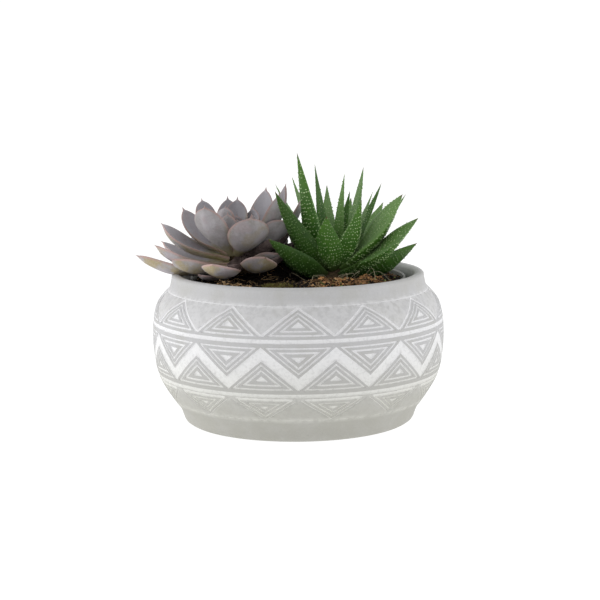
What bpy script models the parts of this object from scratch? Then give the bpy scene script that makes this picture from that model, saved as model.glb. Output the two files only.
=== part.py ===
"""Two succulents in a bowl: a leaning echeveria and a haworthia in a plastic liner pot.

Metres, +Z up. The origin is the centre of the bowl's foot, on its underside.
Azimuths are degrees from +X towards +Y, so 270 faces the front.
"""
import math

import bmesh
import bpy
from mathutils import Vector

MM = 0.001
GAP = 0.3 * MM                  # clear space kept between touching solids

# Bowl, millimetres: (radius, height) down the outside, from under the rim to the foot.
BOWL_HEIGHT = 90.0
RIM_RADIUS = 76.2
COLLAR = [(76.4, 87.0), (77.6, 81.6)]
BELLY = [(78.9, 80.2), (84.9, 73.2), (87.6, 63.5), (88.2, 52.0), (87.1, 37.5), (83.9, 26.5),
         (78.1, 16.5), (72.4, 8.8)]
FOOT_EDGE = [(70.6, 4.0), (69.4, 1.4), (67.0, 0.0)]
BOWL_INSIDE = [(0.0, 8.0), (55.0, 8.0), (64.0, 13.0), (77.5, 27.0), (81.8, 44.0), (81.8, 58.0),
               (76.5, 73.5), (70.6, 80.5), (70.0, 87.0)]
RIM_TOP = [(70.9, 89.2), (72.8, 90.0), (74.9, 89.8)]
BOWL_STEPS = 56

# Liner pot, millimetres.
LINER_TOP_RADIUS = 65.0
LINER_FOOT_RADIUS = 51.0
LINER_TOP = 87.0
LINER_WALL = 1.2
LINER_FLOOR = 8.3
LINER_STEPS = 44
DRAIN_HOLES = 4
DRAIN_HOLE_RADIUS = 4.0
DRAIN_RING_RADIUS = 33.0

# Planting, millimetres.
SOIL_TOP = 84.0
SOIL_EDGE = 82.8
BALL_DEPTH = 38.0               # how far a nursery root ball reaches under the soil's top
BALL_TAPER = 0.78               # a root ball's lower radius over its upper one
ECHEVERIA_AT = (-28.0, -2.0)
HAWORTHIA_AT = (22.0, -3.0)
ECHEVERIA_BALL = 23.0
HAWORTHIA_BALL = 25.0
MOSS_AT = (-9.0, -40.0)
MOSS_SIZE = (15.0, 9.0, 4.5)

# Crowns, millimetres: where the leaves' directions start, and the axis they stand round.
ECHEVERIA_CROWN = Vector((-36.0, -2.0, 99.0))
ECHEVERIA_LEAN = Vector((-0.25, 0.0, 1.0)).normalized()
HAWORTHIA_CROWN = Vector((21.0, -3.0, 87.0))
HAWORTHIA_LEAN = Vector((0.0, 0.0, 1.0))

# Seats, millimetres: how far along its axis a flat leaf and an upright leaf start, and then
# how far from the axis each of them starts.
ECHEVERIA_SEATS = (-5.0, 8.0, 6.5, 3.0)
HAWORTHIA_SEATS = (-0.5, 8.0, 13.0, 3.5)
STEM_CLEARANCE = 0.5
STEM_SIDES = 14
BALL_SIDES = 24

# Leaves: azimuth (degrees), then the tip's reach out and rise above the crown, the width and
# the belly, which is how far the leaf hangs below its chord, as a share of its length.
ECHEVERIA_LEAVES = [
    (187, 62, 3, 18, 0.07), (195, 51, 13, 20, 0.12), (221, 51, 7, 19, 0.11),
    (182, 45, 25, 23, 0.12), (161, 36, 30, 18, 0.10), (131, 35, 34, 16, 0.10),
    (239, 33, 37, 22, 0.14), (255, 51, 6, 22, 0.13), (231, 37, -7, 11, 0.02),
    (285, 33, 31, 25, 0.16), (90, 13, 36, 15, 0.08), (104, 29, 35, 17, 0.10),
    (52, 28, 41, 19, 0.10), (343, 27, 40, 19, 0.14), (39, 38, 43, 17, 0.12),
    (338, 30, 27, 21, 0.14), (322, 33, 7, 17, 0.10), (292, 47, 9, 21, 0.14),
    (21, 43, 36, 17, 0.12), (3, 30, 13, 15, 0.08), (162, 50, 12, 20, 0.12),
    (128, 47, 14, 20, 0.12), (92, 48, 12, 21, 0.12), (58, 46, 14, 20, 0.12),
    (230, 10, 33, 14, 0.08),
]
HAWORTHIA_LEAVES = [
    (188, 21, 75, 13, 0.06), (124, 18, 67, 11, 0.03), (218, 43, 54, 14, 0.10),
    (126, 41, 58, 11, 0.05), (130, 54, 53, 11, 0.07), (95, 29, 53, 12, 0.05),
    (49, 12, 61, 11, 0.02), (357, 19, 66, 12, 0.04), (60, 23, 50, 10, 0.05),
    (309, 27, 48, 13, 0.07), (26, 28, 50, 10, 0.05), (72, 41, 44, 12, 0.08),
    (42, 42, 54, 11, 0.05), (50, 51, 41, 12, 0.08), (346, 43, 50, 14, 0.07),
    (21, 49, 48, 11, 0.06), (336, 55, 37, 14, 0.10), (356, 51, 20, 15, 0.06),
    (262, 27, 39, 17, 0.10), (223, 52, 27, 14, 0.09), (300, 34, 14, 13, 0.07),
    (108, 46, 36, 13, 0.09), (92, 52, 20, 13, 0.09), (62, 54, 17, 13, 0.09),
    (178, 26, 38, 10, 0.05), (125, 48, 16, 13, 0.08),
]
LEAF_SIDES = 8
LEAF_RINGS = 8

# Colours, linear.
CLAY = (0.62, 0.61, 0.61)
PLASTIC = (0.42, 0.42, 0.42)
PEAT = (0.05, 0.035, 0.025)
ROOTS = (0.10, 0.07, 0.05)
MOSS = (0.14, 0.17, 0.05)
BARK = (0.25, 0.19, 0.12)
LILAC_GREY = (0.42, 0.39, 0.42)
LEAF_GREEN = (0.11, 0.21, 0.06)


class LeafShape:
    """The proportions that one plant's leaves share."""

    def __init__(self, rise, fall, base, upper, lower, keel):
        self.rise = rise        # power of the widening from the base
        self.fall = fall        # power of the narrowing to the tip
        self.base = base        # half-width at the base over the greatest half-width
        self.upper = upper      # crown of the upper face, as a share of the half-width
        self.lower = lower      # depth of the lower face, as a share of the half-width
        self.keel = keel        # 0 for a round back, 1 for a sharp one

    def half_width(self, along):
        """Half-width at a place along the leaf, 0 to 1, over the greatest half-width."""
        widest = self.rise / (self.rise + self.fall)
        spread = (along / widest) ** self.rise * ((1 - along) / (1 - widest)) ** self.fall
        stalk = self.base * (1 - along) ** 3
        return max(spread, stalk)


ECHEVERIA_SHAPE = LeafShape(1.25, 0.50, 0.16, 0.05, 0.50, 0.2)
HAWORTHIA_SHAPE = LeafShape(0.85, 1.05, 0.26, 0.10, 0.62, 0.8)


def clear_scene():
    for old in list(bpy.data.objects):
        bpy.data.objects.remove(old, do_unlink=True)


def new_collection(name):
    group = bpy.data.collections.new(name)
    bpy.context.scene.collection.children.link(group)
    return group


def paint(piece, colour, roughness):
    """Give a piece a Principled material of its own."""
    material = bpy.data.materials.new(piece.name + "_finish")
    material.use_nodes = True
    shader = material.node_tree.nodes["Principled BSDF"]
    shader.inputs["Base Color"].default_value = (*colour, 1.0)
    shader.inputs["Roughness"].default_value = roughness
    shader.inputs["Metallic"].default_value = 0.0
    piece.data.materials.append(material)


def mesh_piece(name, mesh_builder, group):
    """A new object whose mesh is taken from a bmesh, which is then freed."""
    mesh = bpy.data.meshes.new(name)
    mesh_builder.to_mesh(mesh)
    mesh_builder.free()
    piece = bpy.data.objects.new(name, mesh)
    group.objects.link(piece)
    return piece


def flowing(points, steps):
    """A Catmull-Rom curve through points, with this many steps in each span."""
    ends = [points[0], *points, points[-1]]
    curve = []
    for before, start, end, after in zip(ends, ends[1:], ends[2:], ends[3:]):
        for step in range(steps):
            t = step / steps
            curve.append(tuple(
                0.5 * (2 * b + (c - a) * t + (2 * a - 5 * b + 4 * c - d) * t ** 2
                       + (3 * b - a - 3 * c + d) * t ** 3)
                for a, b, c, d in zip(before, start, end, after)))
    return curve + [points[-1]]


def turned(name, outline, steps, group):
    """Turn an outline of (radius, height) in millimetres, outer side first, about Z."""
    profile = bmesh.new()
    corners = [profile.verts.new((radius * MM, 0, height * MM)) for radius, height in outline]
    for start, end in zip(corners, corners[1:]):
        profile.edges.new((start, end))
    piece = mesh_piece(name, profile, group)
    turn = piece.modifiers.new("turn", "SCREW")
    turn.steps = turn.render_steps = steps
    turn.use_merge_vertices = True
    turn.merge_threshold = 0.00001
    return piece


def cone_piece(name, top_radius, low_radius, top, low, at, steps, group):
    """A capped cone between two heights, all in millimetres."""
    cone = bmesh.new()
    bmesh.ops.create_cone(cone, cap_ends=True, segments=steps, radius1=low_radius * MM,
                          radius2=top_radius * MM, depth=(top - low) * MM)
    piece = mesh_piece(name, cone, group)
    piece.location = (at[0] * MM, at[1] * MM, (top + low) / 2 * MM)
    return piece


def cut(piece, cutter):
    """Take a cutter out of a piece."""
    cutter.hide_render = True
    cutter.display_type = "WIRE"
    hole = piece.modifiers.new(cutter.name, "BOOLEAN")
    hole.operation = "DIFFERENCE"
    hole.solver = "EXACT"
    hole.object = cutter


def build_bowl(parts):
    inside = [*BOWL_INSIDE, *RIM_TOP]
    outside = [(RIM_RADIUS, BOWL_HEIGHT - 1.2), *COLLAR, *flowing(BELLY, 2), *FOOT_EDGE, (0.0, 0.0)]
    bowl = turned("bowl", [*inside, *outside], BOWL_STEPS, parts)
    paint(bowl, CLAY, 0.85)


def liner_radius(height):
    """The liner pot's outer radius at a height, in millimetres."""
    share = (height - LINER_FLOOR) / (LINER_TOP - LINER_FLOOR)
    return LINER_FOOT_RADIUS + (LINER_TOP_RADIUS - LINER_FOOT_RADIUS) * share


def build_liner(parts, cutters):
    floor_top = LINER_FLOOR + LINER_WALL
    outline = [(0.0, floor_top), (liner_radius(floor_top) - LINER_WALL, floor_top),
               (LINER_TOP_RADIUS - LINER_WALL, LINER_TOP), (LINER_TOP_RADIUS, LINER_TOP),
               (LINER_FOOT_RADIUS, LINER_FLOOR), (0.0, LINER_FLOOR)]
    liner = turned("liner_pot", outline, LINER_STEPS, parts)
    for index in range(DRAIN_HOLES):
        angle = math.radians(45 + index * 360 / DRAIN_HOLES)
        at = (DRAIN_RING_RADIUS * math.cos(angle), DRAIN_RING_RADIUS * math.sin(angle))
        hole = cone_piece(f"drain_cutter_{index}", DRAIN_HOLE_RADIUS, DRAIN_HOLE_RADIUS,
                          floor_top + 1, LINER_FLOOR - 1, at, 12, cutters)
        cut(liner, hole)
    paint(liner, PLASTIC, 0.5)


def build_soil(parts, cutters):
    gap = GAP / MM
    low = LINER_FLOOR + LINER_WALL + gap
    low_radius = liner_radius(low) - LINER_WALL - gap
    edge_radius = liner_radius(SOIL_EDGE) - LINER_WALL - gap
    outline = [(0.0, SOIL_TOP), (edge_radius - 7, SOIL_TOP), (edge_radius, SOIL_EDGE),
               (low_radius, low), (0.0, low)]
    soil = turned("potting_mix", outline, LINER_STEPS, parts)
    plants = (("echeveria", ECHEVERIA_AT, ECHEVERIA_BALL), ("haworthia", HAWORTHIA_AT, HAWORTHIA_BALL))
    for plant, at, radius in plants:
        low_end = SOIL_TOP - BALL_DEPTH
        pocket = cone_piece(f"{plant}_pocket_cutter", radius + gap, radius * BALL_TAPER + gap,
                            SOIL_TOP + gap + 1, low_end - gap, at, BALL_SIDES, cutters)
        cut(soil, pocket)
        ball = cone_piece(f"{plant}_root_ball", radius, radius * BALL_TAPER, SOIL_TOP + gap,
                          low_end, at, BALL_SIDES, parts)
        paint(ball, ROOTS, 0.95)
    paint(soil, PEAT, 0.95)


def build_moss(parts):
    cushion = bmesh.new()
    bmesh.ops.create_uvsphere(cushion, u_segments=14, v_segments=8, radius=1.0)
    lower = [corner for corner in cushion.verts if corner.co.z < -0.01]
    bmesh.ops.delete(cushion, geom=lower, context="VERTS")
    rim = [edge for edge in cushion.edges if edge.is_boundary]
    bmesh.ops.contextual_create(cushion, geom=rim)
    bmesh.ops.scale(cushion, vec=[size * MM for size in MOSS_SIZE], verts=cushion.verts)
    moss = mesh_piece("moss_cushion", cushion, parts)
    moss.location = (MOSS_AT[0] * MM, MOSS_AT[1] * MM, SOIL_TOP * MM + 2 * GAP)
    paint(moss, MOSS, 0.95)


def seat(crown, lean, lowest, highest, wide, narrow, share):
    """Where on the crown a leaf starts: its height along the axis, and its distance from it."""
    centre = crown + lean * (lowest + (highest - lowest) * share)
    return centre, wide + (narrow - wide) * share


def leaf_frame(base, tip, belly):
    """Centre line and cross directions of a leaf, as a function of the place along it."""
    chord = tip - base
    flat = Vector((chord.x, chord.y, 0)).normalized()
    side = Vector((-flat.y, flat.x, 0))
    below = side.cross(chord.normalized())
    bend = (base + tip) / 2 + below * (2 * belly * chord.length)

    def at(along):
        point = base * (1 - along) ** 2 + bend * (2 * along * (1 - along)) + tip * along ** 2
        heading = ((bend - base) * (1 - along) + (tip - bend) * along).normalized()
        return point, side, heading.cross(side)
    return at


def build_leaf(name, base, tip, width, belly, shape, colour, parts):
    """One leaf: a sphere drawn out along a bent centre line, poles at its base and tip."""
    body = bmesh.new()
    bmesh.ops.create_uvsphere(body, u_segments=LEAF_SIDES, v_segments=LEAF_RINGS, radius=1.0)
    frame_at = leaf_frame(base, tip, belly)
    for corner in body.verts:
        along = min(max((corner.co.z + 1) / 2, 0.0), 1.0)
        around = math.atan2(corner.co.y, corner.co.x)
        off_axis = math.hypot(corner.co.x, corner.co.y) > 0.001
        half = width / 2 * shape.half_width(along) if off_axis else 0.0
        across = math.cos(around)
        lift = math.sin(around)
        depth = shape.upper if lift > 0 else shape.lower
        roundness = abs(lift) if lift > 0 else abs(lift) * (1 - shape.keel * abs(across) * 0.35)
        point, side, face = frame_at(along)
        offset = side * across + face * math.copysign(depth * roundness, lift)
        corner.co = (point + offset * half) * MM
    leaf = mesh_piece(name, body, parts)
    paint(leaf, colour, 0.6)


def build_rosette(plant, crown, lean, seats, leaves, shape, colour, parts):
    for number, (azimuth, reach, rise, width, belly) in enumerate(leaves, 1):
        out = Vector((math.cos(math.radians(azimuth)), math.sin(math.radians(azimuth)), 0))
        tip = crown + out * reach + Vector((0, 0, rise))
        share = rise / math.hypot(reach, rise)
        centre, distance = seat(crown, lean, *seats, share)
        flat_out = (out - lean * out.dot(lean)).normalized()
        base = centre + flat_out * distance
        build_leaf(f"{plant}_leaf_{number:02d}", base, tip, width, belly, shape, colour, parts)


def build_stem(plant, crown, lean, seats, foot, parts):
    """The short stem that the leaves stand round, on top of the root ball."""
    top, top_gap = seat(crown, lean, *seats, 1.0)
    low, low_gap = seat(crown, lean, *seats, -0.1)
    upright = Vector((0, 0, 1)).rotation_difference(lean)
    stem = bmesh.new()
    bmesh.ops.create_cone(stem, cap_ends=True, segments=STEM_SIDES, depth=1.0,
                          radius1=(low_gap - STEM_CLEARANCE) * MM,
                          radius2=(top_gap - STEM_CLEARANCE) * MM)
    for corner in stem.verts:
        centre = top if corner.co.z > 0 else low
        corner.co = upright @ Vector((corner.co.x, corner.co.y, 0)) + centre * MM
    lower_face = min(stem.faces, key=lambda face: face.calc_center_median().z)
    drawn = bmesh.ops.extrude_discrete_faces(stem, faces=[lower_face])["faces"][0]
    foot_centre = Vector((*foot, SOIL_TOP)) * MM + Vector((0, 0, 2 * GAP))
    for corner in drawn.verts:
        spoke = corner.co - low * MM
        corner.co = foot_centre + Vector((spoke.x, spoke.y, 0))
    paint(mesh_piece(f"{plant}_stem", stem, parts), BARK, 0.8)


def main():
    clear_scene()
    parts = new_collection("mixed_succulents_in_a_bowl")
    cutters = new_collection("cutters")
    build_bowl(parts)
    build_liner(parts, cutters)
    build_soil(parts, cutters)
    build_moss(parts)
    build_stem("echeveria", ECHEVERIA_CROWN, ECHEVERIA_LEAN, ECHEVERIA_SEATS, ECHEVERIA_AT, parts)
    build_stem("haworthia", HAWORTHIA_CROWN, HAWORTHIA_LEAN, HAWORTHIA_SEATS, HAWORTHIA_AT, parts)
    build_rosette("echeveria", ECHEVERIA_CROWN, ECHEVERIA_LEAN, ECHEVERIA_SEATS, ECHEVERIA_LEAVES,
                  ECHEVERIA_SHAPE, LILAC_GREY, parts)
    build_rosette("haworthia", HAWORTHIA_CROWN, HAWORTHIA_LEAN, HAWORTHIA_SEATS, HAWORTHIA_LEAVES,
                  HAWORTHIA_SHAPE, LEAF_GREEN, parts)


main()
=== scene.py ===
"""Looks of the planted bowl: relief bowl, liner, soil, moss, echeveria and haworthia.

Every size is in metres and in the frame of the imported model, which gives each piece its place.
"""
import functools
import math
import random

import bmesh
import bpy
import numpy as np
from bpy.props import FloatProperty, FloatVectorProperty, IntProperty, PointerProperty
from mathutils import Matrix, Vector, noise
from mathutils.geometry import delaunay_2d_cdt


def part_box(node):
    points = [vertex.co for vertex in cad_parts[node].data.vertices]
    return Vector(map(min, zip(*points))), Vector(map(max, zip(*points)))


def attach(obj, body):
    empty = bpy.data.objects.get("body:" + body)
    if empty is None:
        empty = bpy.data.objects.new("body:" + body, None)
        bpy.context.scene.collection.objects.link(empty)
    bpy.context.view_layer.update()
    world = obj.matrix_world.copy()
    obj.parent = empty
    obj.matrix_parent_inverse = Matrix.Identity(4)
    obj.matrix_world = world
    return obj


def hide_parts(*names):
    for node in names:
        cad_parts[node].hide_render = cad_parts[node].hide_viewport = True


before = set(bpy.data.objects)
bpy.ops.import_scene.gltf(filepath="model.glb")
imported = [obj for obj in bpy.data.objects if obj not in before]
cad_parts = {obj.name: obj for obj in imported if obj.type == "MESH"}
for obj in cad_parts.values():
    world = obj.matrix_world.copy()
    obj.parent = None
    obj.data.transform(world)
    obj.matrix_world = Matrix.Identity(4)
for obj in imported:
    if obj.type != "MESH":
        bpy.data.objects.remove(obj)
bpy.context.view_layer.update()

bl_info = {
    "name": "Planted Bowl",
    "version": (1, 0, 0),
    "blender": (4, 5, 0),
    "location": "3D View > Sidebar > Planted Bowl",
    "description": "Builds a relief bowl planted with an echeveria and a haworthia",
    "category": "Add Mesh",
}

MM = 0.001


# ---------------------------------------------------------------- settings

def length(name, text, default):
    return FloatProperty(name=name, description=text, default=default, min=0.0,
                         subtype="DISTANCE", unit="LENGTH")


def colour(name, text, default):
    return FloatVectorProperty(name=name, description=text, default=default, size=3,
                               min=0.0, max=1.0, subtype="COLOR")


class BowlSettings(bpy.types.PropertyGroup):
    repeats: IntProperty(name="Repeats", description="Times the relief repeats round the bowl",
                         default=13, min=3)
    groove_depth: length("Groove depth", "How deep the relief is cut", 0.55 * MM)
    groove_slope: length("Groove slope", "Width of each groove's sloping side", 0.30 * MM)
    unevenness: length("Unevenness", "How far the cast surface wanders", 0.14 * MM)
    # The lower colours are painted shade: the clay and its wash darken towards the foot, where less light
    # reaches.
    clay_high: colour("Upper clay", "Cool grey of the shoulder", (0.525, 0.525, 0.532))
    clay_low: colour("Lower clay", "Warm grey of the foot", (0.42, 0.415, 0.375))
    wash_high: colour("Upper wash", "White wash in the shoulder's grooves", (0.80, 0.80, 0.81))
    wash_low: colour("Lower wash", "Duller wash near the foot", (0.68, 0.68, 0.63))


class PlantingSettings(bpy.types.PropertyGroup):
    chips: IntProperty(name="Chips", description="Bark and coir chips on the soil", default=3200)
    fibres: IntProperty(name="Fibres", description="Loose coir fibres on the soil", default=320)
    moss_shoots: IntProperty(name="Moss shoots", description="Shoots on the moss", default=900)
    soil_lump: length("Soil lump", "Height of the soil's lumps", 2.1 * MM)
    peat: colour("Peat", "Dark damp soil", (0.010, 0.007, 0.006))
    coir: colour("Coir", "Red-brown coir and bark", (0.44, 0.235, 0.10))
    straw: colour("Straw", "Golden coir fibres", (0.62, 0.42, 0.22))
    moss: colour("Moss", "Olive moss", (0.17, 0.16, 0.045))
    plastic: colour("Liner plastic", "Grey liner pot", (0.20, 0.205, 0.19))


class EcheveriaSettings(bpy.types.PropertyGroup):
    tip_length: length("Tip length", "Length of the point at each leaf's end", 4.4 * MM)
    edge: length("Edge", "Half the thickness of a leaf's margin", 0.70 * MM)
    bloom: colour("Bloom", "Lilac grey wax on the leaf", (0.45, 0.43, 0.455))
    shade: colour("Shade", "Duller grey patches", (0.335, 0.32, 0.325))
    inner: colour("Inner face", "Blue grey of the upper face", (0.44, 0.43, 0.475))
    heart: colour("Heart", "Yellow green at a leaf's base", (0.40, 0.37, 0.17))
    margin: colour("Margin", "Coral margin and tip", (0.47, 0.305, 0.275))


class HaworthiaSettings(bpy.types.PropertyGroup):
    row_pitch: length("Row pitch", "Distance between rows of tubercles", 2.3 * MM)
    tubercle: length("Tubercle", "Half-width of a tubercle", 0.60 * MM)
    back: colour("Back", "Deep green of the outer face", (0.040, 0.116, 0.016))
    face: colour("Face", "Pale green of the inner face", (0.215, 0.350, 0.140))
    young: colour("Young", "Bright green of the young leaves", (0.085, 0.205, 0.020))
    pearl: colour("Pearl", "Pale green tubercles", (0.42, 0.57, 0.28))
    tip: colour("Tip", "Brown dry tip", (0.13, 0.085, 0.045))


class StudioSettings(bpy.types.PropertyGroup):
    lens: FloatProperty(name="Lens", description="Focal length", default=100.0,
                        subtype="DISTANCE_CAMERA")
    distance: length("Distance", "Camera to the bowl's axis", 1.0)
    height: length("Height", "Camera above the floor", 0.223)
    tilt: FloatProperty(name="Tilt", description="How far the camera looks down",
                        default=math.radians(8.58), subtype="ANGLE")
    roll: FloatProperty(name="Roll", description="How far the camera leans",
                        default=math.radians(-0.58), subtype="ANGLE")
    front: FloatProperty(name="Front", description="Share of light from the camera's side",
                         default=0.80)
    zenith: FloatProperty(name="Zenith", description="Share of light from above", default=0.75)
    left_lamp: FloatProperty(name="Left lamp", description="Power of the left panel",
                             default=4.2, unit="POWER")
    right_lamp: FloatProperty(name="Right lamp", description="Power of the right panel",
                              default=2.4, unit="POWER")
    table_light: FloatProperty(name="Table light", description="Glow of the floor", default=0.92)
    backdrop: colour("Backdrop", "Grey floor under its own glow", (0.22, 0.22, 0.22))


GROUPS = {
    "planted_bowl": BowlSettings,
    "planted_soil": PlantingSettings,
    "planted_echeveria": EcheveriaSettings,
    "planted_haworthia": HaworthiaSettings,
    "planted_studio": StudioSettings,
}


def settings(kind):
    """The scene's settings of one kind, by a name in GROUPS."""
    return getattr(bpy.context.scene, kind)


# ---------------------------------------------------------------- finishes

class Finish:
    """A Principled material, with short calls for the nodes that feed it."""

    def __init__(self, name, roughness, **constants):
        self.material = bpy.data.materials.new(name)
        self.material.use_nodes = True
        self.tree = self.material.node_tree
        self.shader = self.tree.nodes["Principled BSDF"]
        self.shader.inputs["Roughness"].default_value = roughness
        for socket, value in constants.items():
            self.shader.inputs[socket.replace("_", " ")].default_value = value
        self.place = self.tree.nodes.new("ShaderNodeTexCoord").outputs["Object"]

    def feed(self, socket, value):
        if isinstance(value, bpy.types.NodeSocket):
            self.tree.links.new(value, socket)
        elif isinstance(value, (int, float)):
            socket.default_value = value
        else:
            socket.default_value = (*value, 1.0)

    def attribute(self, name):
        node = self.tree.nodes.new("ShaderNodeAttribute")
        node.attribute_name = name
        return node.outputs["Fac"]

    def noise(self, size, detail=3.0, roughness=0.55, vector=None, offset=0.0):
        """Noise whose features are about this size in metres, or in the vector's own units."""
        node = self.tree.nodes.new("ShaderNodeTexNoise")
        node.inputs["Scale"].default_value = 1.0 / size
        node.inputs["Detail"].default_value = detail
        node.inputs["Roughness"].default_value = roughness
        source = vector or self.place
        if offset:
            shift = self.tree.nodes.new("ShaderNodeVectorMath")
            self.feed(shift.inputs[0], source)
            shift.inputs[1].default_value = (offset, offset, offset)
            source = shift.outputs[0]
        self.feed(node.inputs["Vector"], source)
        return node.outputs["Fac"]

    def cells(self, size):
        node = self.tree.nodes.new("ShaderNodeTexVoronoi")
        node.inputs["Scale"].default_value = 1.0 / size
        self.feed(node.inputs["Vector"], self.place)
        return node.outputs["Distance"]

    def maths(self, operation, first, second=0.0):
        node = self.tree.nodes.new("ShaderNodeMath")
        node.operation = operation
        self.feed(node.inputs[0], first)
        self.feed(node.inputs[1], second)
        return node.outputs[0]

    def between(self, value, low, high, result_low=0.0, result_high=1.0):
        """A value eased from one range to another, and held at its ends."""
        node = self.tree.nodes.new("ShaderNodeMapRange")
        node.interpolation_type = "SMOOTHSTEP"
        for socket, number in zip(list(node.inputs)[1:5], (low, high, result_low, result_high)):
            socket.default_value = number
        self.feed(node.inputs["Value"], value)
        return node.outputs["Result"]

    def mix(self, share, first, second, blend="MIX"):
        node = self.tree.nodes.new("ShaderNodeMix")
        node.data_type = "RGBA"
        node.blend_type = blend
        self.feed(node.inputs[0], share)
        self.feed(node.inputs[6], first)
        self.feed(node.inputs[7], second)
        return node.outputs[2]

    def vector(self, x, y, z=0.0):
        node = self.tree.nodes.new("ShaderNodeCombineXYZ")
        for socket, value in zip(node.inputs, (x, y, z)):
            self.feed(socket, value)
        return node.outputs[0]

    def height(self):
        node = self.tree.nodes.new("ShaderNodeSeparateXYZ")
        self.feed(node.inputs[0], self.place)
        return node.outputs["Z"]

    def paint(self, value):
        self.feed(self.shader.inputs["Base Color"], value)

    def gloss(self, value):
        self.feed(self.shader.inputs["Roughness"], value)

    def bumps(self, *layers):
        """Bump layers, each a (height, distance in metres) pair, laid one on another."""
        under = None
        for height, distance in layers:
            node = self.tree.nodes.new("ShaderNodeBump")
            node.inputs["Distance"].default_value = distance
            node.inputs["Strength"].default_value = 1.0
            self.feed(node.inputs["Height"], height)
            if under is not None:
                self.feed(node.inputs["Normal"], under)
            under = node.outputs["Normal"]
        self.feed(self.shader.inputs["Normal"], under)


def clay_finish():
    """Unglazed cast clay with a white wash left in its grooves."""
    look = settings("planted_bowl")
    clay = Finish("washed_clay", 0.86, Specular_IOR_Level=0.28)
    # Painted shade: the clay and the wash darken towards the foot.
    rise = clay.between(clay.height(), 0.012, 0.060)
    cloud = clay.noise(0.016, 5.0, 0.6)
    grain = clay.noise(0.0011, 3.0, 0.7)
    brush = clay.noise(0.0035, 4.0, 0.65, offset=3.0)
    body = clay.mix(rise, look.clay_low, look.clay_high)
    body = clay.mix(clay.between(cloud, 0.40, 0.66, 0.0, 0.5), body, (0.47, 0.465, 0.44))
    body = clay.mix(clay.between(grain, 0.30, 0.75, 0.10, 0.0), body, (0.28, 0.28, 0.27))
    wash = clay.mix(rise, look.wash_low, look.wash_high)
    cut = clay.attribute("recess")
    worn = clay.maths("ADD", cut, clay.between(brush, 0.3, 0.7, -0.12, 0.10))
    chipped = clay.between(clay.noise(0.0018, 4.0, 0.7, offset=9.0), 0.34, 0.52, 0.70, 1.0)
    held = clay.maths("MULTIPLY", clay.between(worn, 0.04, 0.42), chipped)
    haze = clay.maths("MULTIPLY", clay.attribute("haze"), clay.between(brush, 0.35, 0.60, 0.35, 1.0))
    clay.paint(clay.mix(clay.maths("MAXIMUM", held, haze), body, wash))
    pits = clay.between(clay.cells(0.0042), 0.05, 0.16)
    clay.bumps((grain, 0.00022), (brush, 0.00030), (pits, 0.00010))
    return clay.material


def plastic_finish():
    """Thin moulded grey plastic, scuffed and dusty."""
    look = settings("planted_soil")
    plastic = Finish("liner_plastic", 0.52, Specular_IOR_Level=0.4)
    dust = plastic.noise(0.004, 5.0, 0.65)
    plastic.paint(plastic.mix(plastic.between(dust, 0.4, 0.75, 0.0, 0.45), look.plastic,
                              (0.36, 0.345, 0.31)))
    plastic.gloss(plastic.between(dust, 0.3, 0.7, 0.42, 0.70))
    plastic.bumps((plastic.noise(0.0012), 0.00006))
    return plastic.material


def soil_finish(name="damp_peat"):
    """Dark crumbs of peat with a little brown coir."""
    look = settings("planted_soil")
    soil = Finish(name, 0.92, Specular_IOR_Level=0.25)
    crumb = soil.noise(0.0022, 5.0, 0.7)
    patch = soil.noise(0.018, 2.0, offset=5.0)
    brown = soil.maths("MULTIPLY", soil.between(crumb, 0.48, 0.68), soil.between(patch, 0.4, 0.6))
    soil.paint(soil.mix(brown, look.peat, (0.085, 0.045, 0.026)))
    soil.bumps((crumb, 0.0012), (soil.noise(0.0007, 3.0), 0.0004))
    return soil.material


def chip_finish():
    """Bark and coir: the chip's own colour, with fibres along it."""
    chip = Finish("bark_and_coir", 0.88, Specular_IOR_Level=0.25)
    own = chip.tree.nodes.new("ShaderNodeAttribute")
    own.attribute_name = "chip_colour"
    streak = chip.noise(0.0006, 4.0, 0.7)
    chip.paint(chip.mix(chip.between(streak, 0.35, 0.7, 0.0, 0.6), own.outputs["Color"],
                        (0.035, 0.020, 0.012)))
    chip.bumps((streak, 0.0003))
    return chip.material


def moss_finish():
    """Olive shoots with brown patches."""
    look = settings("planted_soil")
    moss = Finish("moss", 0.9, Specular_IOR_Level=0.2)
    patch = moss.noise(0.003, 3.0)
    moss.paint(moss.mix(moss.between(patch, 0.38, 0.62), look.moss, (0.11, 0.075, 0.026)))
    moss.bumps((moss.noise(0.0006), 0.0003))
    return moss.material


def stem_finish():
    """Brown corky stem with darker scars."""
    stem = Finish("corky_stem", 0.85, Specular_IOR_Level=0.25)
    scar = stem.noise(0.0016, 4.0, 0.65)
    stem.paint(stem.mix(stem.between(scar, 0.35, 0.65), (0.045, 0.030, 0.017), (0.13, 0.092, 0.048)))
    stem.bumps((scar, 0.0006))
    return stem.material


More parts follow.
